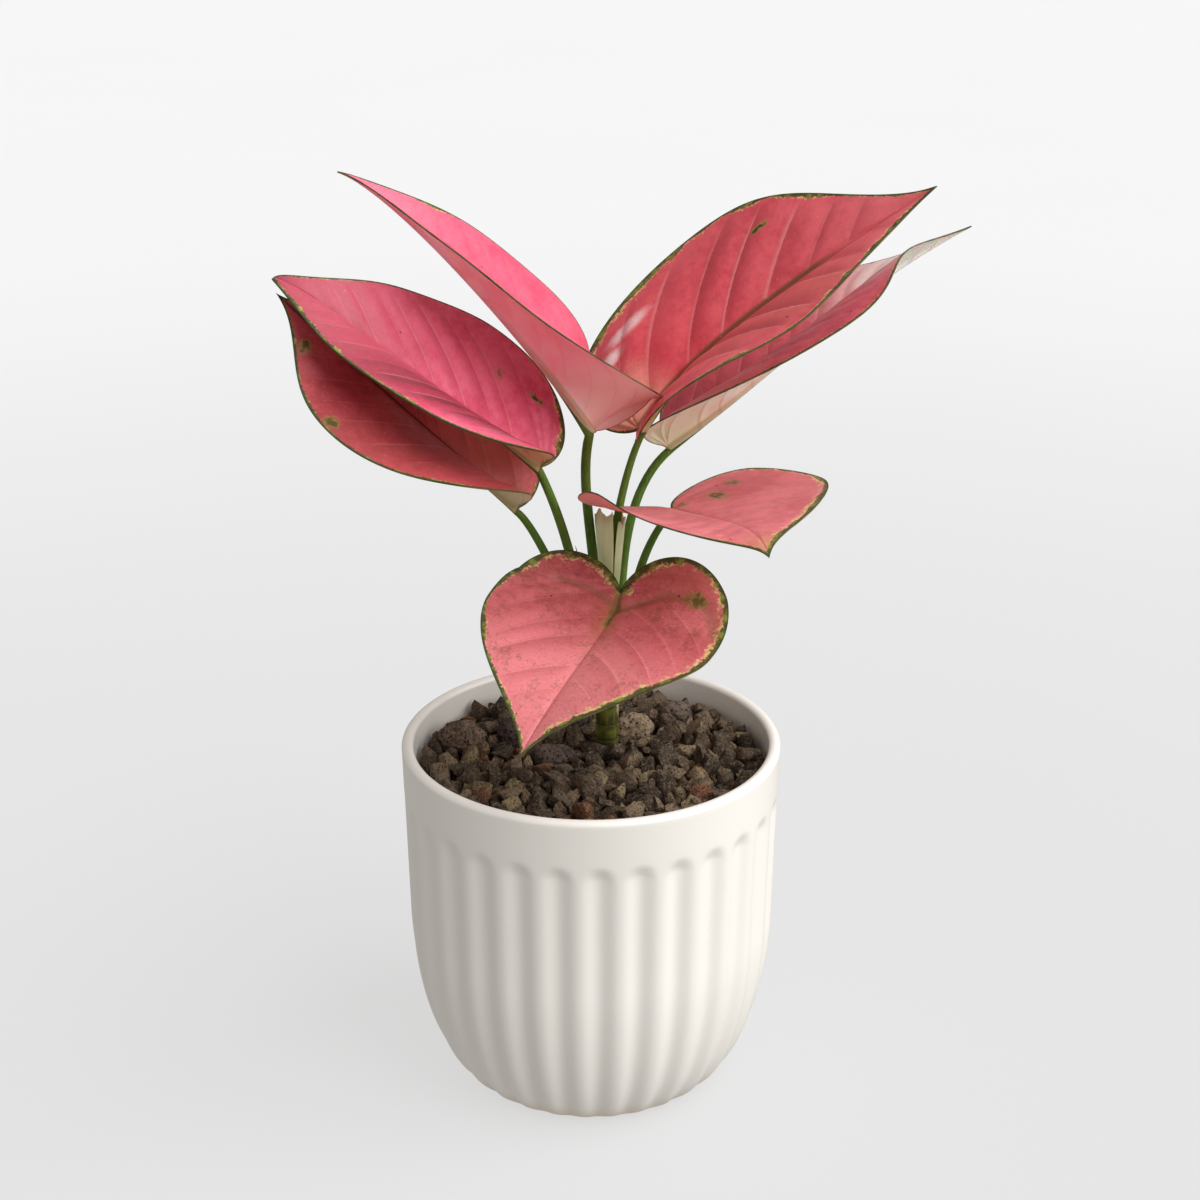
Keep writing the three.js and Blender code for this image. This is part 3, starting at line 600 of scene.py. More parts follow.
# Veins: spacing in millimetres, lean away from the midrib, bow towards the tip, puff of the panels between.
# Edges: along the left and the right margin, share of the way from base to tip, then the widths in
# millimetres of the green and of the cream flecks inside it. Blots are green, tints are soft changes of
# colour, a few of them painted highlight, light and shade: millimetres to the right of the midrib and
# ahead of the base, two radii, then colour or strength.
looks = {
    "left_upper": {
        "pale": "f07490", "deep": "e24c70", "tip": "b4505f", "tipStart": 0.6, "rib": "c9566a", "ribEnd": 0.25,
        "veinLine": 0.3, "veinShade": 0.4, "veins": (11.5, 0.75, 0.3, 0.42), "under": "e2b090",
        "underBase": "dcdca4", "rim": "4a2814",
        "edges": {
            -1: [(0, 2.4, 0.8), (0.3, 1.6, 0.4), (1, 1.2, 0.3)],
            1: [
                (0, 0.8, 0.5), (0.1, 1.2, 1), (0.13, 3, 2), (0.22, 3.2, 2.2), (0.28, 1, 0.8),
                (0.35, 0.6, 0.4), (1, 0.5, 0.3),
            ],
        },
        "blots": [(20, 12, 1.4, 4, 1.0), (19, 28, 2.5, 2.5, 0.45)],
        "tints": [(-16, 50, 16, 66, "681a28", 0.95), (16, 55, 14, 40, "ff8098", 0.4)],
    },
    "left_lower": {
        "pale": "c65058", "deep": "a83c46", "tip": "c05058", "tipStart": 0.8, "rib": "3a2208", "ribEnd": 0.95,
        "ribWidth": 1.1, "veinLine": 0.12, "veinShade": 0.3, "veins": (12, 0.7, 0.3, 0.5), "under": "d8a184",
        "underBase": "c7c49a", "edges": {-1: [(0, 1, 0.3), (1, 0.8, 0.3)], 1: [(0, 1, 0.3), (1, 0.8, 0.3)]},
        "blots": [(-7, 92, 3, 2.4, 0.8), (-27, 74, 3, 2.4, 0.8), (2, 2, 5, 5, 0.5)],
        # the ea8a86 spot is painted light, lifting the shadow that the upper left leaf casts here
        "tints": [(-30, 60, 12, 40, "a85050", 0.4), (12, 22, 24, 30, "ea8a86", 0.75)],
    },
    "centre": {
        "pale": "e8647f", "deep": "e04c70", "tip": "f08098", "tipStart": 0.75, "rib": "e0708a", "ribEnd": 0.2,
        "veinLine": 0.1, "veinShade": 0.18, "veins": (12, 0.7, 0.3, 0.35), "under": "ffc8d2",
        "underBase": "ffdcd4",
        "edges": {
            -1: [(0, 0.6, 0.2), (0.78, 0.6, 0.2), (0.81, 1.6, 0.5), (0.84, 0.6, 0.2), (1, 0.5, 0.2)],
            1: [(0, 0.5, 0.3), (0.69, 0.5, 0.3), (0.76, 1.5, 0.6), (0.83, 0.5, 0.3), (1, 0.4, 0.3)],
        },
    },
    "right_upper": {
        "pale": "e46670", "deep": "d2505e", "tip": "e6757c", "tipStart": 0.75, "rib": "6b5426",
        "ribEnd": 0.72, "ribWidth": 2.6, "veinLine": 0.5, "veinShade": 0.6, "veins": (17, 0.6, 0.25, 0.95),
        "under": "e4a894", "underBase": "cfae8c",
        "edges": {
            -1: [
                (0, 1, 1), (0.24, 1.4, 1.4), (0.35, 3.6, 2.6), (0.39, 3, 2.2), (0.42, 1, 1), (0.45, 2.6, 1.8),
                (0.5, 0.8, 0.8), (0.55, 2.4, 1.4), (0.6, 0.6, 0.6), (0.67, 2.6, 1.2), (0.74, 1, 0.8),
                (1, 0.5, 0.4),
            ],
            1: [
                (0, 1, 0.8), (0.36, 1, 0.8), (0.43, 3.2, 2.2), (0.47, 1, 1), (0.6, 1, 1), (0.65, 3, 2),
                (0.68, 1, 1), (0.71, 3, 2), (0.76, 1, 1), (0.8, 3.2, 2.2), (0.86, 2.4, 1.6), (0.92, 1, 0.8),
                (1, 0.5, 0.4),
            ],
        },
        "blots": [(-25, 71, 1.4, 4.5, 1.0)],
        "tints": [
            # ffc4ae and ecc0a0: the leaf's paler base, lifted by painted light in the shade between folds
            # the two fff0f0 spots near the base are a painted highlight
            (18, 60, 16, 50, "c86a58", 0.5), (-25, 9, 2.8, 7, "fff0f0", 0.85),
            (-29.5, 20, 2.8, 9, "fff0f0", 0.8), (0, 8, 22, 14, "ffc4ae", 0.85),
            (-12, -1, 15, 7, "ecc0a0", 0.95),
        ],
    },
    "right_lower": {
        "pale": "d8626e", "deep": "c44a60", "tip": "fff8f0", "tipStart": 0.68, "rib": "c8606c", "ribEnd": 0.3,
        "veinLine": 0.3, "veinShade": 0.3, "veins": (12, 0.65, 0.3, 0.5), "under": "fff0e0",
        "underBase": "f6f2d2",
        "edges": {-1: [(0, 0.8, 0.6), (1, 0.6, 0.5)], 1: [(0, 0.8, 0.6), (1, 0.6, 0.5)]},
    },
    "small_right": {
        "pale": "e67e86", "deep": "d2666f", "tip": "c9a070", "tipStart": 0.88, "rib": "c8707a", "ribEnd": 0.3,
        "veinLine": 0.15, "veinShade": 0.22, "veins": (11, 0.4, 0.5, 0.4), "under": "f29a9c",
        "underBase": "ee9694",
        "edges": {
            -1: [
                (0, 1, 1), (0.4, 1.2, 1.5), (0.46, 2.2, 3), (0.86, 1.8, 2.4), (0.9, 3, 2), (0.95, 1.4, 2),
                (1, 1, 1),
            ],
            1: [(0, 1, 0.5), (1, 0.9, 0.4)],
        },
        "blots": [(-14, 8, 3, 6, 0.8), (-24, 4, 3, 4, 0.6), (-3, 3, 3, 3, 0.5)],
        "tints": [(-24, 10, 14, 12, "c05a64", 0.5)],
    },
    "front": {
        "pale": "d06c72", "deep": "b65256", "tip": "e6868a", "tipStart": 0.45, "rib": "786434",
        "ribEnd": 0.28, "ribWidth": 1.9, "veinLine": 0.12, "veinShade": 0.3, "veins": (12.5, 0.3, 0.6, 0.45),
        "under": "dba890", "underBase": "c9c79e", "foldShade": 0.45, "speckle": 0.45, "bruise": 0.5,
        "edges": {
            -1: [
                (0, 3.6, 1.5), (0.1, 4.2, 2), (0.2, 3.8, 2), (0.24, 2.2, 2.4), (0.36, 2.2, 2.2),
                (0.38, 3, 2.8), (0.45, 2.6, 2.6), (0.49, 1.6, 2.6), (0.6, 2.8, 3.4), (0.68, 1.8, 3),
                (0.78, 3, 3.6), (0.9, 1.4, 2.4), (1, 0.6, 0.5),
            ],
            1: [
                (0, 1.2, 0.8), (0.07, 3, 1.8), (0.2, 3.4, 2.2), (0.33, 2.6, 1.6), (0.38, 1.4, 0.6),
                (0.47, 1.4, 0.6), (0.5, 3, 1), (0.54, 1.4, 0.6), (0.9, 1.2, 0.5), (1, 0.8, 0.4),
            ],
        },
        "blots": [(-26, 2, 5, 3.4, 0.7), (0, 16, 1.6, 4, 0.6), (0, 0, 3, 4, 0.6)],
        "tints": [
            # the two b0604a spots on the left half, behind the fold, are painted shade on the lobe past it
            (20, 50, 16, 20, "f07a8e", 0.6), (0, 20, 6, 26, "a65c40", 0.6), (-20, -7, 19, 9, "b0604a", 0.45),
            (-38, 8, 7, 12, "b0604a", 0.4), (-26, 10, 14, 8, "ee8c8c", 0.5), (6, 10, 30, 4, "b0604e", 0.4),
            (-14, 40, 10, 7, "b06450", 0.5),
        ],
        "folds": [[(0, 10), (-14, 2), (-24, 1), (-31, 5), (-37, 15)], [(0, 8), (10, 3), (21, 1)]],
    },
}
plainLook = {
    "ribWidth": 1.0, "foldShade": 0, "speckle": 0.25, "bruise": 0.12, "rim": "6e5a34", "blots": [],
    "tints": [], "folds": [],
}


def bezier(points, t):
    p = np.asarray(points, float)
    t = np.asarray(t, float)[..., None]
    return (1 - t) ** 3 * p[0] + 3 * (1 - t) ** 2 * t * p[1] + 3 * (1 - t) * t * t * p[2] + t**3 * p[3]


def slope(points, t):
    p = np.asarray(points, float)
    t = np.asarray(t, float)[..., None]
    steps = (1 - t) ** 2 * (p[1] - p[0]) + 2 * (1 - t) * t * (p[2] - p[1]) + t * t * (p[3] - p[2])
    return steps / np.linalg.norm(steps, axis=-1, keepdims=True)


def lengthsAlong(points, steps):  # at even steps of the curve's parameter
    line = bezier(points, np.linspace(0, 1, steps + 1))
    return np.concatenate([[0], np.cumsum(np.linalg.norm(np.diff(line, axis=0), axis=1))])


def bladeLength(leaf):
    return lengthsAlong(leaf["midrib"], 200)[-1]


def frameAt(leaf, share):  # point on the midrib, and the ways ahead, to the right and out of the upper face
    lengths = lengthsAlong(leaf["midrib"], 200)
    share = np.asarray(share, float)
    held = np.clip(share, 0, 1)
    t = np.interp(held * lengths[-1], lengths, np.linspace(0, 1, 201))
    ahead = slope(leaf["midrib"], t)
    point = bezier(leaf["midrib"], t) + ahead * (np.minimum(share, 0) * lengths[-1])[..., None]
    up = np.array((0, 0, 1.0)) - ahead[..., 2:3] * ahead
    up /= np.linalg.norm(up, axis=-1, keepdims=True)
    right = np.cross(ahead, up)
    roll = np.radians(leaf["roll"][0] + (leaf["roll"][1] - leaf["roll"][0]) * held)[..., None]
    return point, ahead, right * np.cos(roll) - up * np.sin(roll), up * np.cos(roll) + right * np.sin(roll)


def marginAt(leaf, side, u):  # the flat half outline: half widths across, lengths along
    split, widest, lobe = blade["lobeShare"], leaf["widest"], leaf["halves"][side][3]
    reach, heel = -blade["lobeReach"] * lobe, -blade["lobeRound"] * lobe
    rear = [(0, 0), (blade["cleft"], reach), (1, heel), (1, widest)]
    fore = [(1, widest), (1, widest + blade["bellyReach"]), (leaf["tip"], blade["tipReach"]), (0, 1)]
    rearPart = bezier(rear, np.clip(u / split, 0, 1))
    forePart = bezier(fore, np.clip((u - split) / (1 - split), 0, 1))
    return np.where((u < split)[..., None], rearPart, forePart)


def layBlade(leaf, side, u, v):  # u from base to tip, v from the midrib to the margin: place and flat place
    foldBase, foldTip, curl = leaf["halves"][side][:3]
    margin = marginAt(leaf, side, u)
    root = u ** blade["veinLag"]
    along = root + (margin[:, 1] - root) * v ** blade["veinCurve"]
    point, ahead, beside, upper = frameAt(leaf, along)
    across = margin[:, 0] * v * leaf["halfWidth"]
    fold = np.radians(foldBase + (foldTip - foldBase) * np.clip(along, 0, 1))
    bend = math.radians(curl) / leaf["halfWidth"]
    out = (np.sin(fold + bend * across) - np.sin(fold)) / bend
    rise = (np.cos(fold) - np.cos(fold + bend * across)) / bend
    waves = np.sin(2 * np.pi * (blade["waves"] * u + blade["waveOffset"] * side))
    rise += leaf["wave"] * margin[:, 0] * v * v * waves
    place = point + beside * (side * out)[:, None] + upper * rise[:, None]
    return place, np.stack([side * across, along * bladeLength(leaf)], 1)


def edgeDistance(points, line):  # distance of each flat place from a flat line of points
    start, step = line[:-1], np.diff(line, axis=0)
    gap = points[:, None, :] - start[None]
    share = np.clip((gap * step).sum(2) / np.maximum((step * step).sum(1), 1e-9), 0, 1)
    return np.linalg.norm(gap - share[..., None] * step, axis=2).min(1)


def soft(x, start, end):
    t = np.clip((x - start) / (end - start), 0, 1)
    return t * t * (3 - 2 * t)


def veinPlaces(leaf, look, flats):  # which side vein runs through a flat place, counted from the base
    spacing, lean, bow = look["veins"][:3]
    length = bladeLength(leaf)
    roots = np.linspace(-2.5 * spacing, length + spacing, 240)
    counts = np.arange(-3, 20)
    rear, ahead = np.minimum(roots, 0) / spacing, np.maximum(roots, 0)
    steep = lean * (1 + 1.2 * ahead / length) + 0.45 * rear
    bend = (bow - 0.12 * rear) / leaf["halfWidth"]
    places = [np.interp(y, ahead + abs(x) * steep + x * x * bend, roots) for x, y in flats]
    wander = blade["wander"] * np.sin(counts * 2.4 + spacing)  # no two panels are alike
    veins = np.interp(places, (counts + wander) * spacing, counts)
    return veins + blade["stagger"] * (flats[:, 0] < 0) * soft(-flats[:, 0], 0, 1.5)


def readMesh(items, key, width):
    values = np.empty(len(items) * width)
    items.foreach_get(key, values)
    return values.reshape(-1, width)


def buildBlade(name, leaf):
    look = {**plainLook, **looks[name]}
    grid = {"x_subdivisions": 2 * blade["columns"], "y_subdivisions": blade["rows"], "size": 1}
    piece = add(bpy.ops.mesh.primitive_grid_add, **grid)
    mesh = piece.data
    spots = readMesh(mesh.vertices, "co", 3)
    count = len(spots)
    u = np.clip(spots[:, 1] + 0.5, 0, 1)
    v = np.clip(np.abs(spots[:, 0]) * 2, 0, 1) ** 1.3
    places, flats = np.zeros((count, 3)), np.zeros((count, 2))
    edges, greens, flecks, folds = np.zeros((4, count))
    outline = np.linspace(0, 1, 160)
    for side in (-1, 1):
        mine = spots[:, 0] < 0 if side < 0 else spots[:, 0] >= 0
        places[mine], flats[mine] = layBlade(leaf, side, u[mine], v[mine])
        margin = marginAt(leaf, side, outline) * (side * leaf["halfWidth"], bladeLength(leaf))
        edges[mine] = edgeDistance(flats[mine], margin)
        along, green, fleck = zip(*look["edges"][side])
        greens[mine] = np.interp(u[mine], along, green)
        flecks[mine] = np.interp(u[mine], along, fleck)
    for line in look["folds"]:
        folds += np.exp(-((edgeDistance(flats, np.array(line, float)) / 1.6) ** 2))
    veins = veinPlaces(leaf, look, flats)
    mesh.vertices.foreach_set("co", (places * mm).ravel())
    marks = {"tipShare": u, "reach": v, "veinPlace": veins, "edgeDistance": edges}
    marks.update({"greenWidth": greens, "fleckWidth": flecks, "foldLine": folds})
    for key, values in marks.items():
        mesh.attributes.new(key, "FLOAT", "POINT").data.foreach_set("value", values)
    flatMap = mesh.uv_layers[0]
    flatMap.name = "flatLeaf"
    corners = readMesh(mesh.loops, "vertex_index", 1)[:, 0].astype(int)
    flatMap.data.foreach_set("uv", (flats[corners] / 100).ravel())
    mesh.update()
    # the upper face puffs up between the side veins and sinks along the midrib and the folds
    normals = readMesh(mesh.vertices, "normal", 3)
    phase = veins - np.floor(veins)
    swell = look["veins"][3] * np.sin(np.pi * phase**0.75) ** 0.9
    window = soft(v, 0, 0.22) * (1 - soft(v, 0.7, 0.97)) * soft(u, 0.02, 0.1) * (1 - soft(u, 0.8, 1))
    crease = blade["creaseDepth"] * np.exp(-((flats[:, 0] / 1.2) ** 2)) * (1 - soft(u, 0.3, 1))
    rise = swell * window - crease - blade["foldDepth"] * folds * soft(edges, 1, 5)
    mesh.vertices.foreach_set("co", ((places + normals * rise[:, None]) * mm).ravel())
    mesh.update()
    for paint in (upperPaint, underPaint, rimPaint):
        mesh.materials.append(paint(name, look))
    body = thicken(piece, blade["thickness"])
    body.material_offset = 1
    body.material_offset_rim = 2
    applyModifiers(piece)
    thick = blade["keel"] * np.exp(-((flats[:, 0] / blade["keelWidth"]) ** 2))
    thick *= np.maximum(1 - u ** blade["veinLag"], 0) ** 0.8
    for i in range(count):  # the lower face thickens to a keel along the midrib
        mesh.vertices[count + i].co -= Vector(normals[i]) * thick[i] * mm
    editAll(piece)
    bpy.ops.mesh.remove_doubles(threshold=2e-6)
    bpy.ops.object.mode_set(mode="OBJECT")
    hand(piece, f"leaf_{name}", f"blade_{name}", None, 50)


def leafMarks(paint):  # what the blade's mesh tells about each place on it, and two patterns on both faces
    flat = paint.map("flatLeaf")
    names = ("tipShare", "reach", "veinPlace", "edgeDistance", "greenWidth")
    marks = [paint.attribute(name) for name in names]
    fibre = paint.noise(paint.vector(marks[2] * 7, marks[1] * 3), 3.0, 3)
    uneven = paint.smooth(paint.noise(flat, 14, 3, 0.6), 0.35, 0.65)
    return [flat, *paint.axes(flat)[:2], *marks, fibre, uneven]


def awayFrom(x, y, spot):  # how far a flat place lies from a spot, 1 on the spot's rim
    right, ahead, wide, long = spot[:4]
    return (((x * 100 - right) / wide) ** 2.0 + ((y * 100 - ahead) / long) ** 2.0) ** 0.5


def leafSurface(paint, roughness, height, flesh):
    sockets = {"Specular IOR Level": 0.3, "Subsurface Weight": flesh, "Subsurface Scale": 0.0015}
    return paint.surface(roughness, (height, 0.0003, 0.7), sockets)


def upperPaint(name, look):
    paint = Paint(f"leaf_upper_{name}", look["pale"])
    smooth, noise, coat = paint.smooth, paint.noise, paint.coat
    flat, x, y, tipShare, reach, vein, edge, greenWidth, fibre, uneven = leafMarks(paint)
    cloud = noise(flat, 5, 3)
    mottle = noise(flat, 28, 4, 0.6)
    speckle = noise(flat, 90, 5, 0.75)
    grain = noise(flat, 260, 3, 0.6)
    ragged = noise(flat, 60, 3) - 0.5
    coat(smooth(cloud * 0.6 + mottle * 0.4, 0.38, 0.62), look["deep"])
    for spot in look["tints"]:
        near = smooth(awayFrom(x, y, spot) + ragged * 0.3, 1.2, 0.3)
        coat(near * spot[5], spot[4])
    coat(smooth(tipShare + cloud * 0.2, look["tipStart"], look["tipStart"] + 0.3) * 0.9, look["tip"])
    # side veins: each panel is darkest just past its vein, painted shade of its puffed relief laid in the
    # deep pink and the dots' dark red, and ends in a thin pale line at the next
    phase = paint.maths("FRACT", vein)
    count = {"W": paint.maths("FLOOR", vein)}
    panel = paint.node("ShaderNodeTexWhiteNoise", {"noise_dimensions": "1D"}, count)
    inside = smooth(reach, 0.02, 0.2) * smooth(reach, 1.0, 0.72)
    shade = smooth(phase, 0.7, 0.02) * inside * (0.5 + panel * 0.7) * smooth(tipShare, 1.0, 0.55)
    coat(shade * look["veinShade"], look["deep"])
    coat(shade * look["veinShade"] * 0.45, blade["dot"])
    line = smooth(phase, 0.88, 0.97) * smooth(reach, 0.95, 0.7) * smooth(tipShare, 0.95, 0.6)
    coat(line * look["veinLine"] * (0.5 + panel * 0.6), blade["paleVein"])
    coat(smooth(fibre, 0.5, 0.8) * 0.22, look["pale"])
    coat(smooth(speckle, 0.52, 0.68) * look["speckle"], look["deep"])
    coat(smooth(speckle, 0.46, 0.34) * look["speckle"] * 0.5, blade["paleVein"])
    coat(smooth(cloud * 0.3 + mottle * 0.4 + speckle * 0.3, 0.5, 0.62) * look["bruise"], blade["brown"])
    coat(paint.attribute("foldLine") * look["foldShade"], look["rib"])
    # midrib, with painted shade darkening the crease along it
    fromRib = abs(x * 100)
    ribWidth = look["ribWidth"] - tipShare * 0.5
    ribPart = smooth(tipShare, look["ribEnd"] + 0.1, look["ribEnd"])
    coat(smooth(fromRib, ribWidth, ribWidth * 0.35) * ribPart * 0.85, look["rib"])
    crease = smooth(fromRib, 0.6, 0.15)
    coat(crease * 0.25, look["deep"])
    coat(smooth(paint.cells(flat, 9), 0.055, 0.035) * 0.85, blade["dot"])
    # green blots, then the margin: green of uneven width with cream flecks inside it
    green = paint.mix(smooth(mottle, 0.46, 0.66), colour(blade["leafGreen"]), colour(blade["paleGreen"]))
    green = paint.mix(smooth(grain, 0.55, 0.75) * 0.6, green, colour(blade["brown"]))
    for spot in look["blots"]:
        away = awayFrom(x, y, spot)
        coat(smooth(away + ragged * 1.6, 1.15, 0.6) * spot[4] * 0.6, blade["paleGreen"])
        coat(smooth(away + ragged * 2.0, 0.7, 0.3) * spot[4], blade["leafGreen"])
    width = greenWidth * (0.6 + uneven * 0.9)
    broken = noise(flat, 75, 4, 0.7) - 0.5
    fleck = smooth(edge, width + paint.attribute("fleckWidth"), width * 0.5) + broken * 3.4
    patchy = smooth(noise(flat, 22, 3), 0.38, 0.58)
    coat(smooth(fleck, 0.5, 0.8) * patchy * 0.75, blade["cream"])
    margin = smooth(edge, width + 0.6, width * 0.3) + (speckle - 0.5) * 2.4
    margin = smooth(margin, 0.48, 0.7) * smooth(edge, width + 0.9, width + 0.3)
    paint.base = paint.mix(margin * 0.95, paint.base, green)
    coat(smooth(edge, 0.55, 0.25) * 0.8, blade["outline"])
    height = grain * 0.25 + fibre * 0.35 + line * 0.6 - crease * 0.6
    return leafSurface(paint, 0.36 + cloud * 0.16 + margin * 0.1, height, 0.3)


def underPaint(name, look):
    paint = Paint(f"leaf_under_{name}", look["under"])
    smooth, noise, coat = paint.smooth, paint.noise, paint.coat
    flat, x, y, tipShare, reach, vein, edge, greenWidth, fibre, uneven = leafMarks(paint)
    cloud, grain = noise(flat, 7, 3), noise(flat, 160, 3)
    coat(smooth(cloud, 0.35, 0.65) * 0.3, look["pale"])
    coat(smooth(y + cloud * 0.1, 0.34, 0.1) * 0.92, look["underBase"])
    coat(smooth(tipShare + cloud * 0.2, look["tipStart"], look["tipStart"] + 0.3) * 0.8, look["tip"])
    line = smooth(paint.maths("FRACT", vein), 0.88, 0.95) * smooth(reach, 0.95, 0.7)
    coat(line * look["veinLine"] * 0.6, look["deep"])
    coat(smooth(fibre, 0.5, 0.75) * 0.25, look["underBase"])
    coat(smooth(abs(x * 100), 1.5, 0.8) * smooth(tipShare, 0.7, 0.2) * 0.6, blade["ribUnder"])
    margin = smooth(edge + grain * 0.6, greenWidth * (0.4 + uneven * 0.6) + 0.3, 0.3)
    coat(margin * 0.6, blade["paleGreen"])
    coat(smooth(edge, 0.5, 0.2) * 0.6, blade["outline"])
    height = grain * 0.3 + fibre * 0.4 + line * 0.9
    return leafSurface(paint, 0.5 + cloud * 0.12, height, 0.65)


def rimPaint(name, look):
    paint = Paint(f"leaf_rim_{name}", look["rim"])
    uneven = paint.noise(paint.map("flatLeaf"), 14, 3, 0.6)
    paint.coat(paint.smooth(uneven, 0.4, 0.65), blade["rimShade"])
    return paint.surface(0.5 + uneven * 0.1)


def stalkLine(leaf):
    point, ahead, beside, upper = [v[0] for v in frameAt(leaf, np.array([0.0]))]
    turn = math.radians(leaf["turn"])
    ring = (math.cos(turn) * stalks["ring"], math.sin(turn) * stalks["ring"], leaf["height"])
    foot = np.array((*cane["at"], 0)) + ring
    drop = blade["thickness"] + leaf["radii"][1] * 0.8 + leaf.get("drop", 0)
    head = point - upper * drop - ahead * 0.4
    return foot, foot + leaf["leave"], head - leaf["arrive"], head


def buildStalk(name, leaf, skin):
    foot, first, second, head = stalkLine(leaf)
    ribs = frameAt(leaf, np.array([0.06, 0.2]))
    reach = bladeLength(leaf)
    piece = add(bpy.ops.curve.primitive_bezier_curve_add)
    curve = piece.data
    line = curve.splines[0]
    line.bezier_points.add(1)
    under = ribs[0][1] - ribs[3][1] * (blade["thickness"] + 1.1 + 0.6 * leaf.get("drop", 0))
    rows = [  # point, handles before and after it, radius: at the cane, at the blade, along the midrib
        (foot, foot - np.array(leaf["leave"]) * 0.3, first, leaf["radii"][0]),
        (head, second, head + ribs[1][0] * reach * 0.02, leaf["radii"][1]),
        (under, under - ribs[1][1] * reach * 0.08, under + ribs[1][1] * 4, 0.35),
    ]
    for spot, (place, before, after, radius) in zip(line.bezier_points, rows):
        spot.handle_left_type = spot.handle_right_type = "FREE"
        spot.co = Vector(place) * mm
        spot.handle_left = Vector(before) * mm
        spot.handle_right = Vector(after) * mm
        spot.radius = radius
    curve.dimensions = "3D"
    curve.resolution_u = 24
    curve.bevel_depth = mm
    curve.bevel_resolution = 6
    curve.use_fill_caps = True
    curve.twist_mode = "MINIMUM"
    bpy.ops.object.convert(target="MESH")
    piece = bpy.context.object
    editAll(piece)
    bpy.ops.mesh.remove_doubles(threshold=1e-6)
    bpy.ops.mesh.normals_make_consistent(inside=False)
    bpy.ops.object.mode_set(mode="OBJECT")
    flareFoot(piece, foot)
    hand(piece, f"petiole_{name}", f"stalk_{name}", skin, 60)


def flareFoot(piece, foot):  # a stalk flattens at its foot and clasps the cane
    axis = Vector((*cane["at"], 0)) * mm
    out = Vector((foot[0], foot[1], 0)) * mm - axis
    out.normalize()
    beside = Vector((-out.y, out.x, 0))
    nested = cane["radius"] + (stalks["highest"] - foot[2]) * stalks["nesting"]
    for vertex in piece.data.vertices:
        climb = (vertex.co.z - foot[2] * mm) / (stalks["claspHeight"] * mm)
        if climb < 1:
            ease = (1 - max(climb, 0)) ** 2
            away = vertex.co - axis
            radius = math.hypot(away.dot(out), away.dot(beside)) / mm
            turn = math.atan2(away.dot(beside), away.dot(out)) * (1 + stalks["clasp"] * ease)
            flat = nested + max(radius - cane["radius"], 0) * 0.12
            radius = radius + (flat - radius) * ease
            level = vertex.co.z - (1 - turn * turn) * ease * mm
            vertex.co = axis + (out * math.cos(turn) + beside * math.sin(turn)) * radius * mm
            vertex.co.z = level


def stalkPaint():
    paint = Paint("petiole_skin", stalks["pale"])
    at = paint.place()
    x, y, z = paint.axes(at)
    streak = paint.noise(paint.vector(x, y, z * 0.06), 1500)
    blot = paint.noise(at, 120, 3)
    paint.coat(paint.smooth(z + blot * 0.01, 0.15, 0.2), stalks["green"])
    paint.coat(paint.smooth(blot, 0.4, 0.7) * 0.6, stalks["shade"])
    paint.coat(paint.smooth(streak, 0.5, 0.8) * 0.35, stalks["pale"])
    height = streak + blot * 0.4
    return paint.surface(0.42 + blot * 0.15, (height, 0.0003, 0.5), {"Specular IOR Level": 0.18})


# a papery sheath round one stalk, and a dry scale beside another
sheath = {
    "shares": (0.26, 0.615), "radii": (2.8, 5.6), "lean": -2.4, "turn": 21, "openings": (3, 12),
    "thickness": 0.3, "top": [1, 0, 2, 0.5, 2, -1, 1, -2, 0, -1, 1.5, 4, 6, 3, 5],
    "grid": {"x_subdivisions": 56, "y_subdivisions": 24, "size": 1}, "pale": "f2ecbc", "green": "b8c478",
    "dry": "c9b58a",
}
scale = {
    "shares": (0.2, 0.62), "offset": (2.5, 1.3, 0), "width": 1.5, "thickness": 0.25,
    "grid": {"x_subdivisions": 8, "y_subdivisions": 20, "size": 1}, "pale": "b5ab98", "dark": "6f6557",
}


def between(pair, share):
    return pair[0] + (pair[1] - pair[0]) * share


def stalkPoint(leaf, share):  # as on the solid's stalk, whose head lies a little lower than this one's
    points = stalkLine(leaf)
    line = bezier(points, np.linspace(0, 1, 101))
    lengths = lengthsAlong(points, 100)
    return np.array([np.interp(share * lengths[-1], lengths, line[:, i]) for i in range(3)])


def buildSheath(leaf):
    piece = add(bpy.ops.mesh.primitive_grid_add, **sheath["grid"])
    top = sheath["top"]
    for vertex in piece.data.vertices:
        climb, around = vertex.co.y + 0.5, vertex.co.x + 0.5
        middle = stalkPoint(leaf, between(sheath["shares"], climb))
        opening = math.radians(between(sheath["openings"], climb**4))
        angle = math.radians(sheath["turn"]) + opening + 2 * (math.pi - opening) * around
        radius = between(sheath["radii"], climb) + 0.12 * math.sin(9 * angle) * climb - 0.25
        radius -= 0.55 * (1 - min(climb / 0.25, 1)) ** 2  # it grows out of the stalk
        ragged = np.interp(around * (len(top) - 1), range(len(top)), top) + 0.5 * math.sin(70 * around)
        bend = sheath["lean"] * climb**2
        spread = (bend + radius * math.sin(angle), -radius * math.cos(angle), ragged * climb**3)
        vertex.co = Vector(middle + spread) * mm
    piece.data.uv_layers[0].name = "wrap"
    thicken(piece, sheath["thickness"])
    applyModifiers(piece)
    hand(piece, "papery_sheath", "sheath", sheathPaint(), 50)


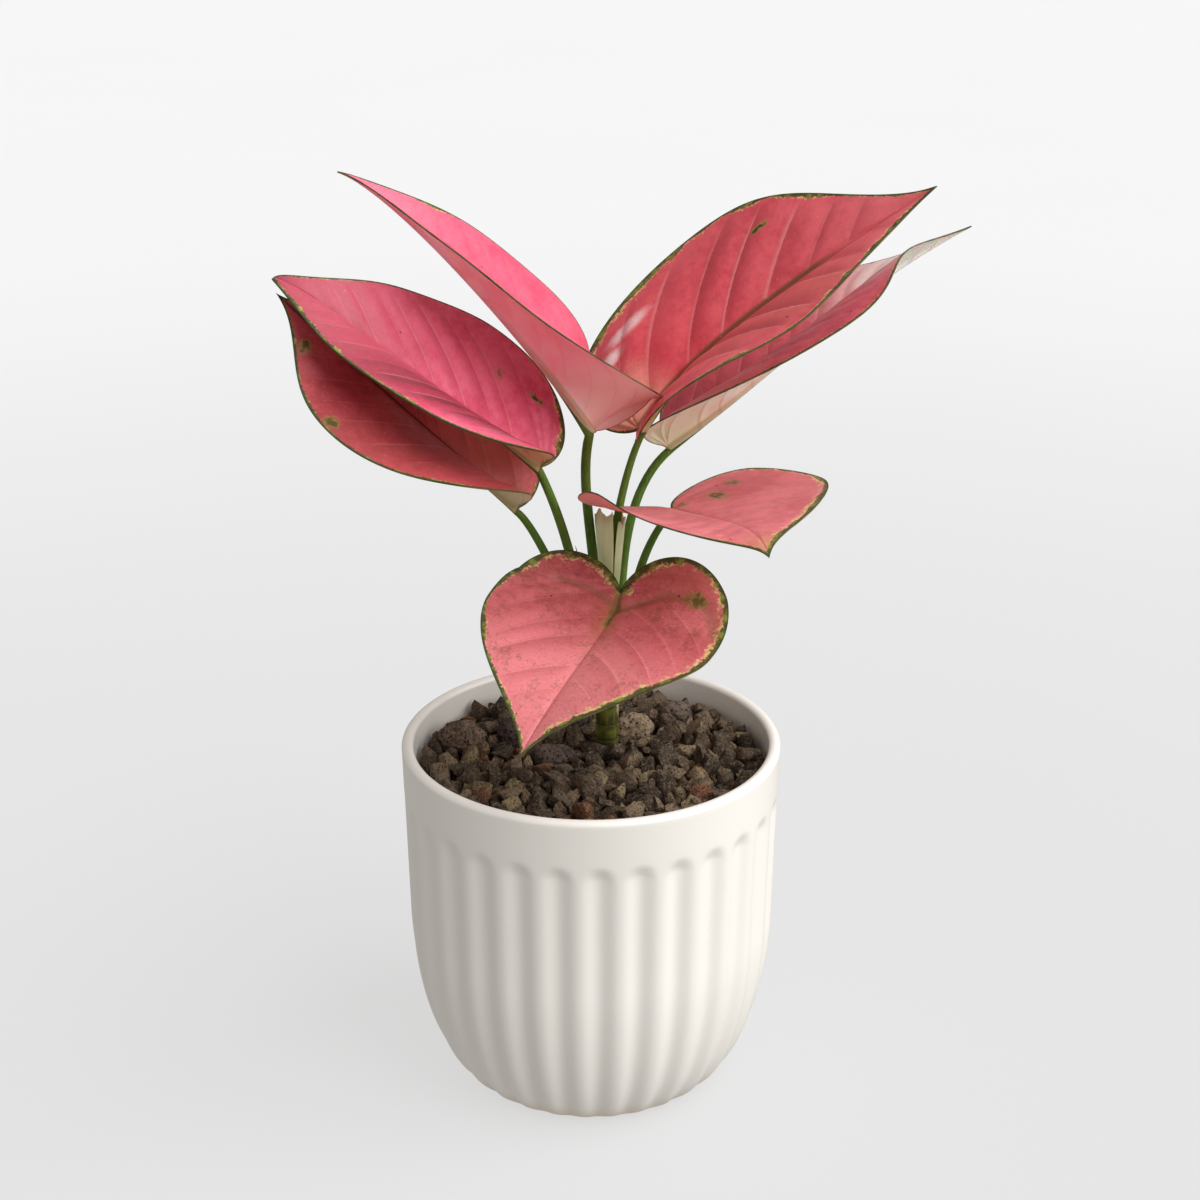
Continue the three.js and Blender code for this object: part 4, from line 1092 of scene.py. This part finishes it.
def sheathPaint():
    paint = Paint("sheath_paper", sheath["green"])
    wrap = paint.map("wrap")
    around, climb, z = paint.axes(wrap)
    line = paint.noise(paint.vector(around * 14, climb * 1.5), 2.0, 3)
    cloud = paint.noise(wrap, 6, 3)
    paint.coat(paint.smooth(climb + cloud * 0.3, 0.2, 0.8), sheath["pale"])
    paint.coat(paint.smooth(line, 0.5, 0.75) * 0.4, sheath["green"])
    paint.coat(paint.smooth(climb + cloud * 0.15, 0.97, 1.08) * 0.6, sheath["dry"])
    thin = {"Subsurface Weight": 0.4, "Subsurface Scale": 0.0015}
    return paint.surface(0.55 + cloud * 0.15, (line, 0.0003, 0.8), thin)


def buildScale(leaf):
    piece = add(bpy.ops.mesh.primitive_grid_add, **scale["grid"])
    for vertex in piece.data.vertices:
        climb, across = vertex.co.y + 0.5, vertex.co.x
        width = scale["width"] * (1 - climb**2.2) + 0.08
        spread = (across * width, -0.5 * math.cos(across * 3) * (1 - climb), 0)
        vertex.co = Vector(stalkPoint(leaf, between(scale["shares"], climb)) + scale["offset"] + spread) * mm
    thicken(piece, scale["thickness"], 0)
    applyModifiers(piece)
    paint = Paint("scale_paper", scale["dark"])
    x, y, z = paint.axes(paint.place())
    line = paint.noise(paint.vector(x, y, z * 0.1), 2500)
    paint.coat(paint.smooth(line, 0.35, 0.7), scale["pale"])
    skin = paint.surface(0.75 + line * 0.2, (line, 0.0002, 1))
    hand(piece, "dry_scale_leaf", "dry_scale", skin, 50)


# floor, sky and one large soft sun from the upper right
studio = {
    "floor": "606162", "floorCloud": "808080", "glowNear": "cecece", "glowFar": "dfdfdf",
    "glowAround": "f3f3f3", "backdrop": 12, "floorSize": 30, "sky": 0.43, "skyTint": (1, 0.975, 0.93, 1),
    "sun": 3.5, "sunTurn": 66, "sunHeight": 44, "sunSpread": 70,
}


def stagePiece(piece, name, paint, roughness, glow):  # it glows to the camera and lights nothing
    piece.name = name
    piece.data.materials.append(
        paint.surface(roughness, None, {"Emission Color": glow, "Emission Strength": 1})
    )
    piece.visible_diffuse = False
    piece.visible_glossy = False
    piece.visible_transmission = False


def buildStudio():
    floor = add(bpy.ops.mesh.primitive_plane_add, size=studio["floorSize"])
    paint = Paint("floor_paint", studio["floor"])
    at = paint.place()
    cloud = paint.noise(at, 3)
    paint.coat(cloud * 0.15, studio["floorCloud"])
    x, y, z = paint.axes(at)
    far = paint.smooth((x**2.0 + y**2.0) ** 0.5, 0.2, 1.5)
    glow = paint.mix(far, colour(studio["glowNear"]), colour(studio["glowFar"]))
    stagePiece(floor, "floor", paint, 0.8 + cloud * 0.1, glow)
    ball = {"segments": 64, "ring_count": 32, "radius": studio["backdrop"]}
    backdrop = add(bpy.ops.mesh.primitive_uv_sphere_add, **ball)
    bpy.ops.object.shade_smooth()
    stagePiece(backdrop, "backdrop", Paint("backdrop_paint", "000000"), 0.5, colour(studio["glowAround"]))
    backdrop.visible_shadow = False
    world = bpy.data.worlds.new("studio")
    bpy.context.scene.world = world
    world.use_nodes = True
    sky = world.node_tree.nodes["Background"]
    sky.inputs["Color"].default_value = studio["skyTint"]
    sky.inputs["Strength"].default_value = studio["sky"]
    turn, height = math.radians(studio["sunTurn"]), math.radians(studio["sunHeight"])
    away = Vector((math.sin(turn) * math.cos(height), -math.cos(turn) * math.cos(height), math.sin(height)))
    sun = add(bpy.ops.object.light_add, type="SUN", location=away * 3)
    sun.data.energy = studio["sun"]
    sun.data.angle = math.radians(studio["sunSpread"])
    sun.rotation_euler = away.to_track_quat("Z", "Y").to_euler()
    bpy.context.scene.view_settings.view_transform = "Standard"
    print("studio ready")


buildPot()
buildGravelFill()
buildGravel()
for name, stone in stones.items():
    buildStone(name, stone)
buildCane()
petioleSkin = stalkPaint()
for name, leaf in leaves.items():
    buildStalk(name, leaf, petioleSkin)
    buildBlade(name, leaf)
buildSheath(leaves["right_upper"])
buildScale(leaves["left_upper"])
buildStudio()
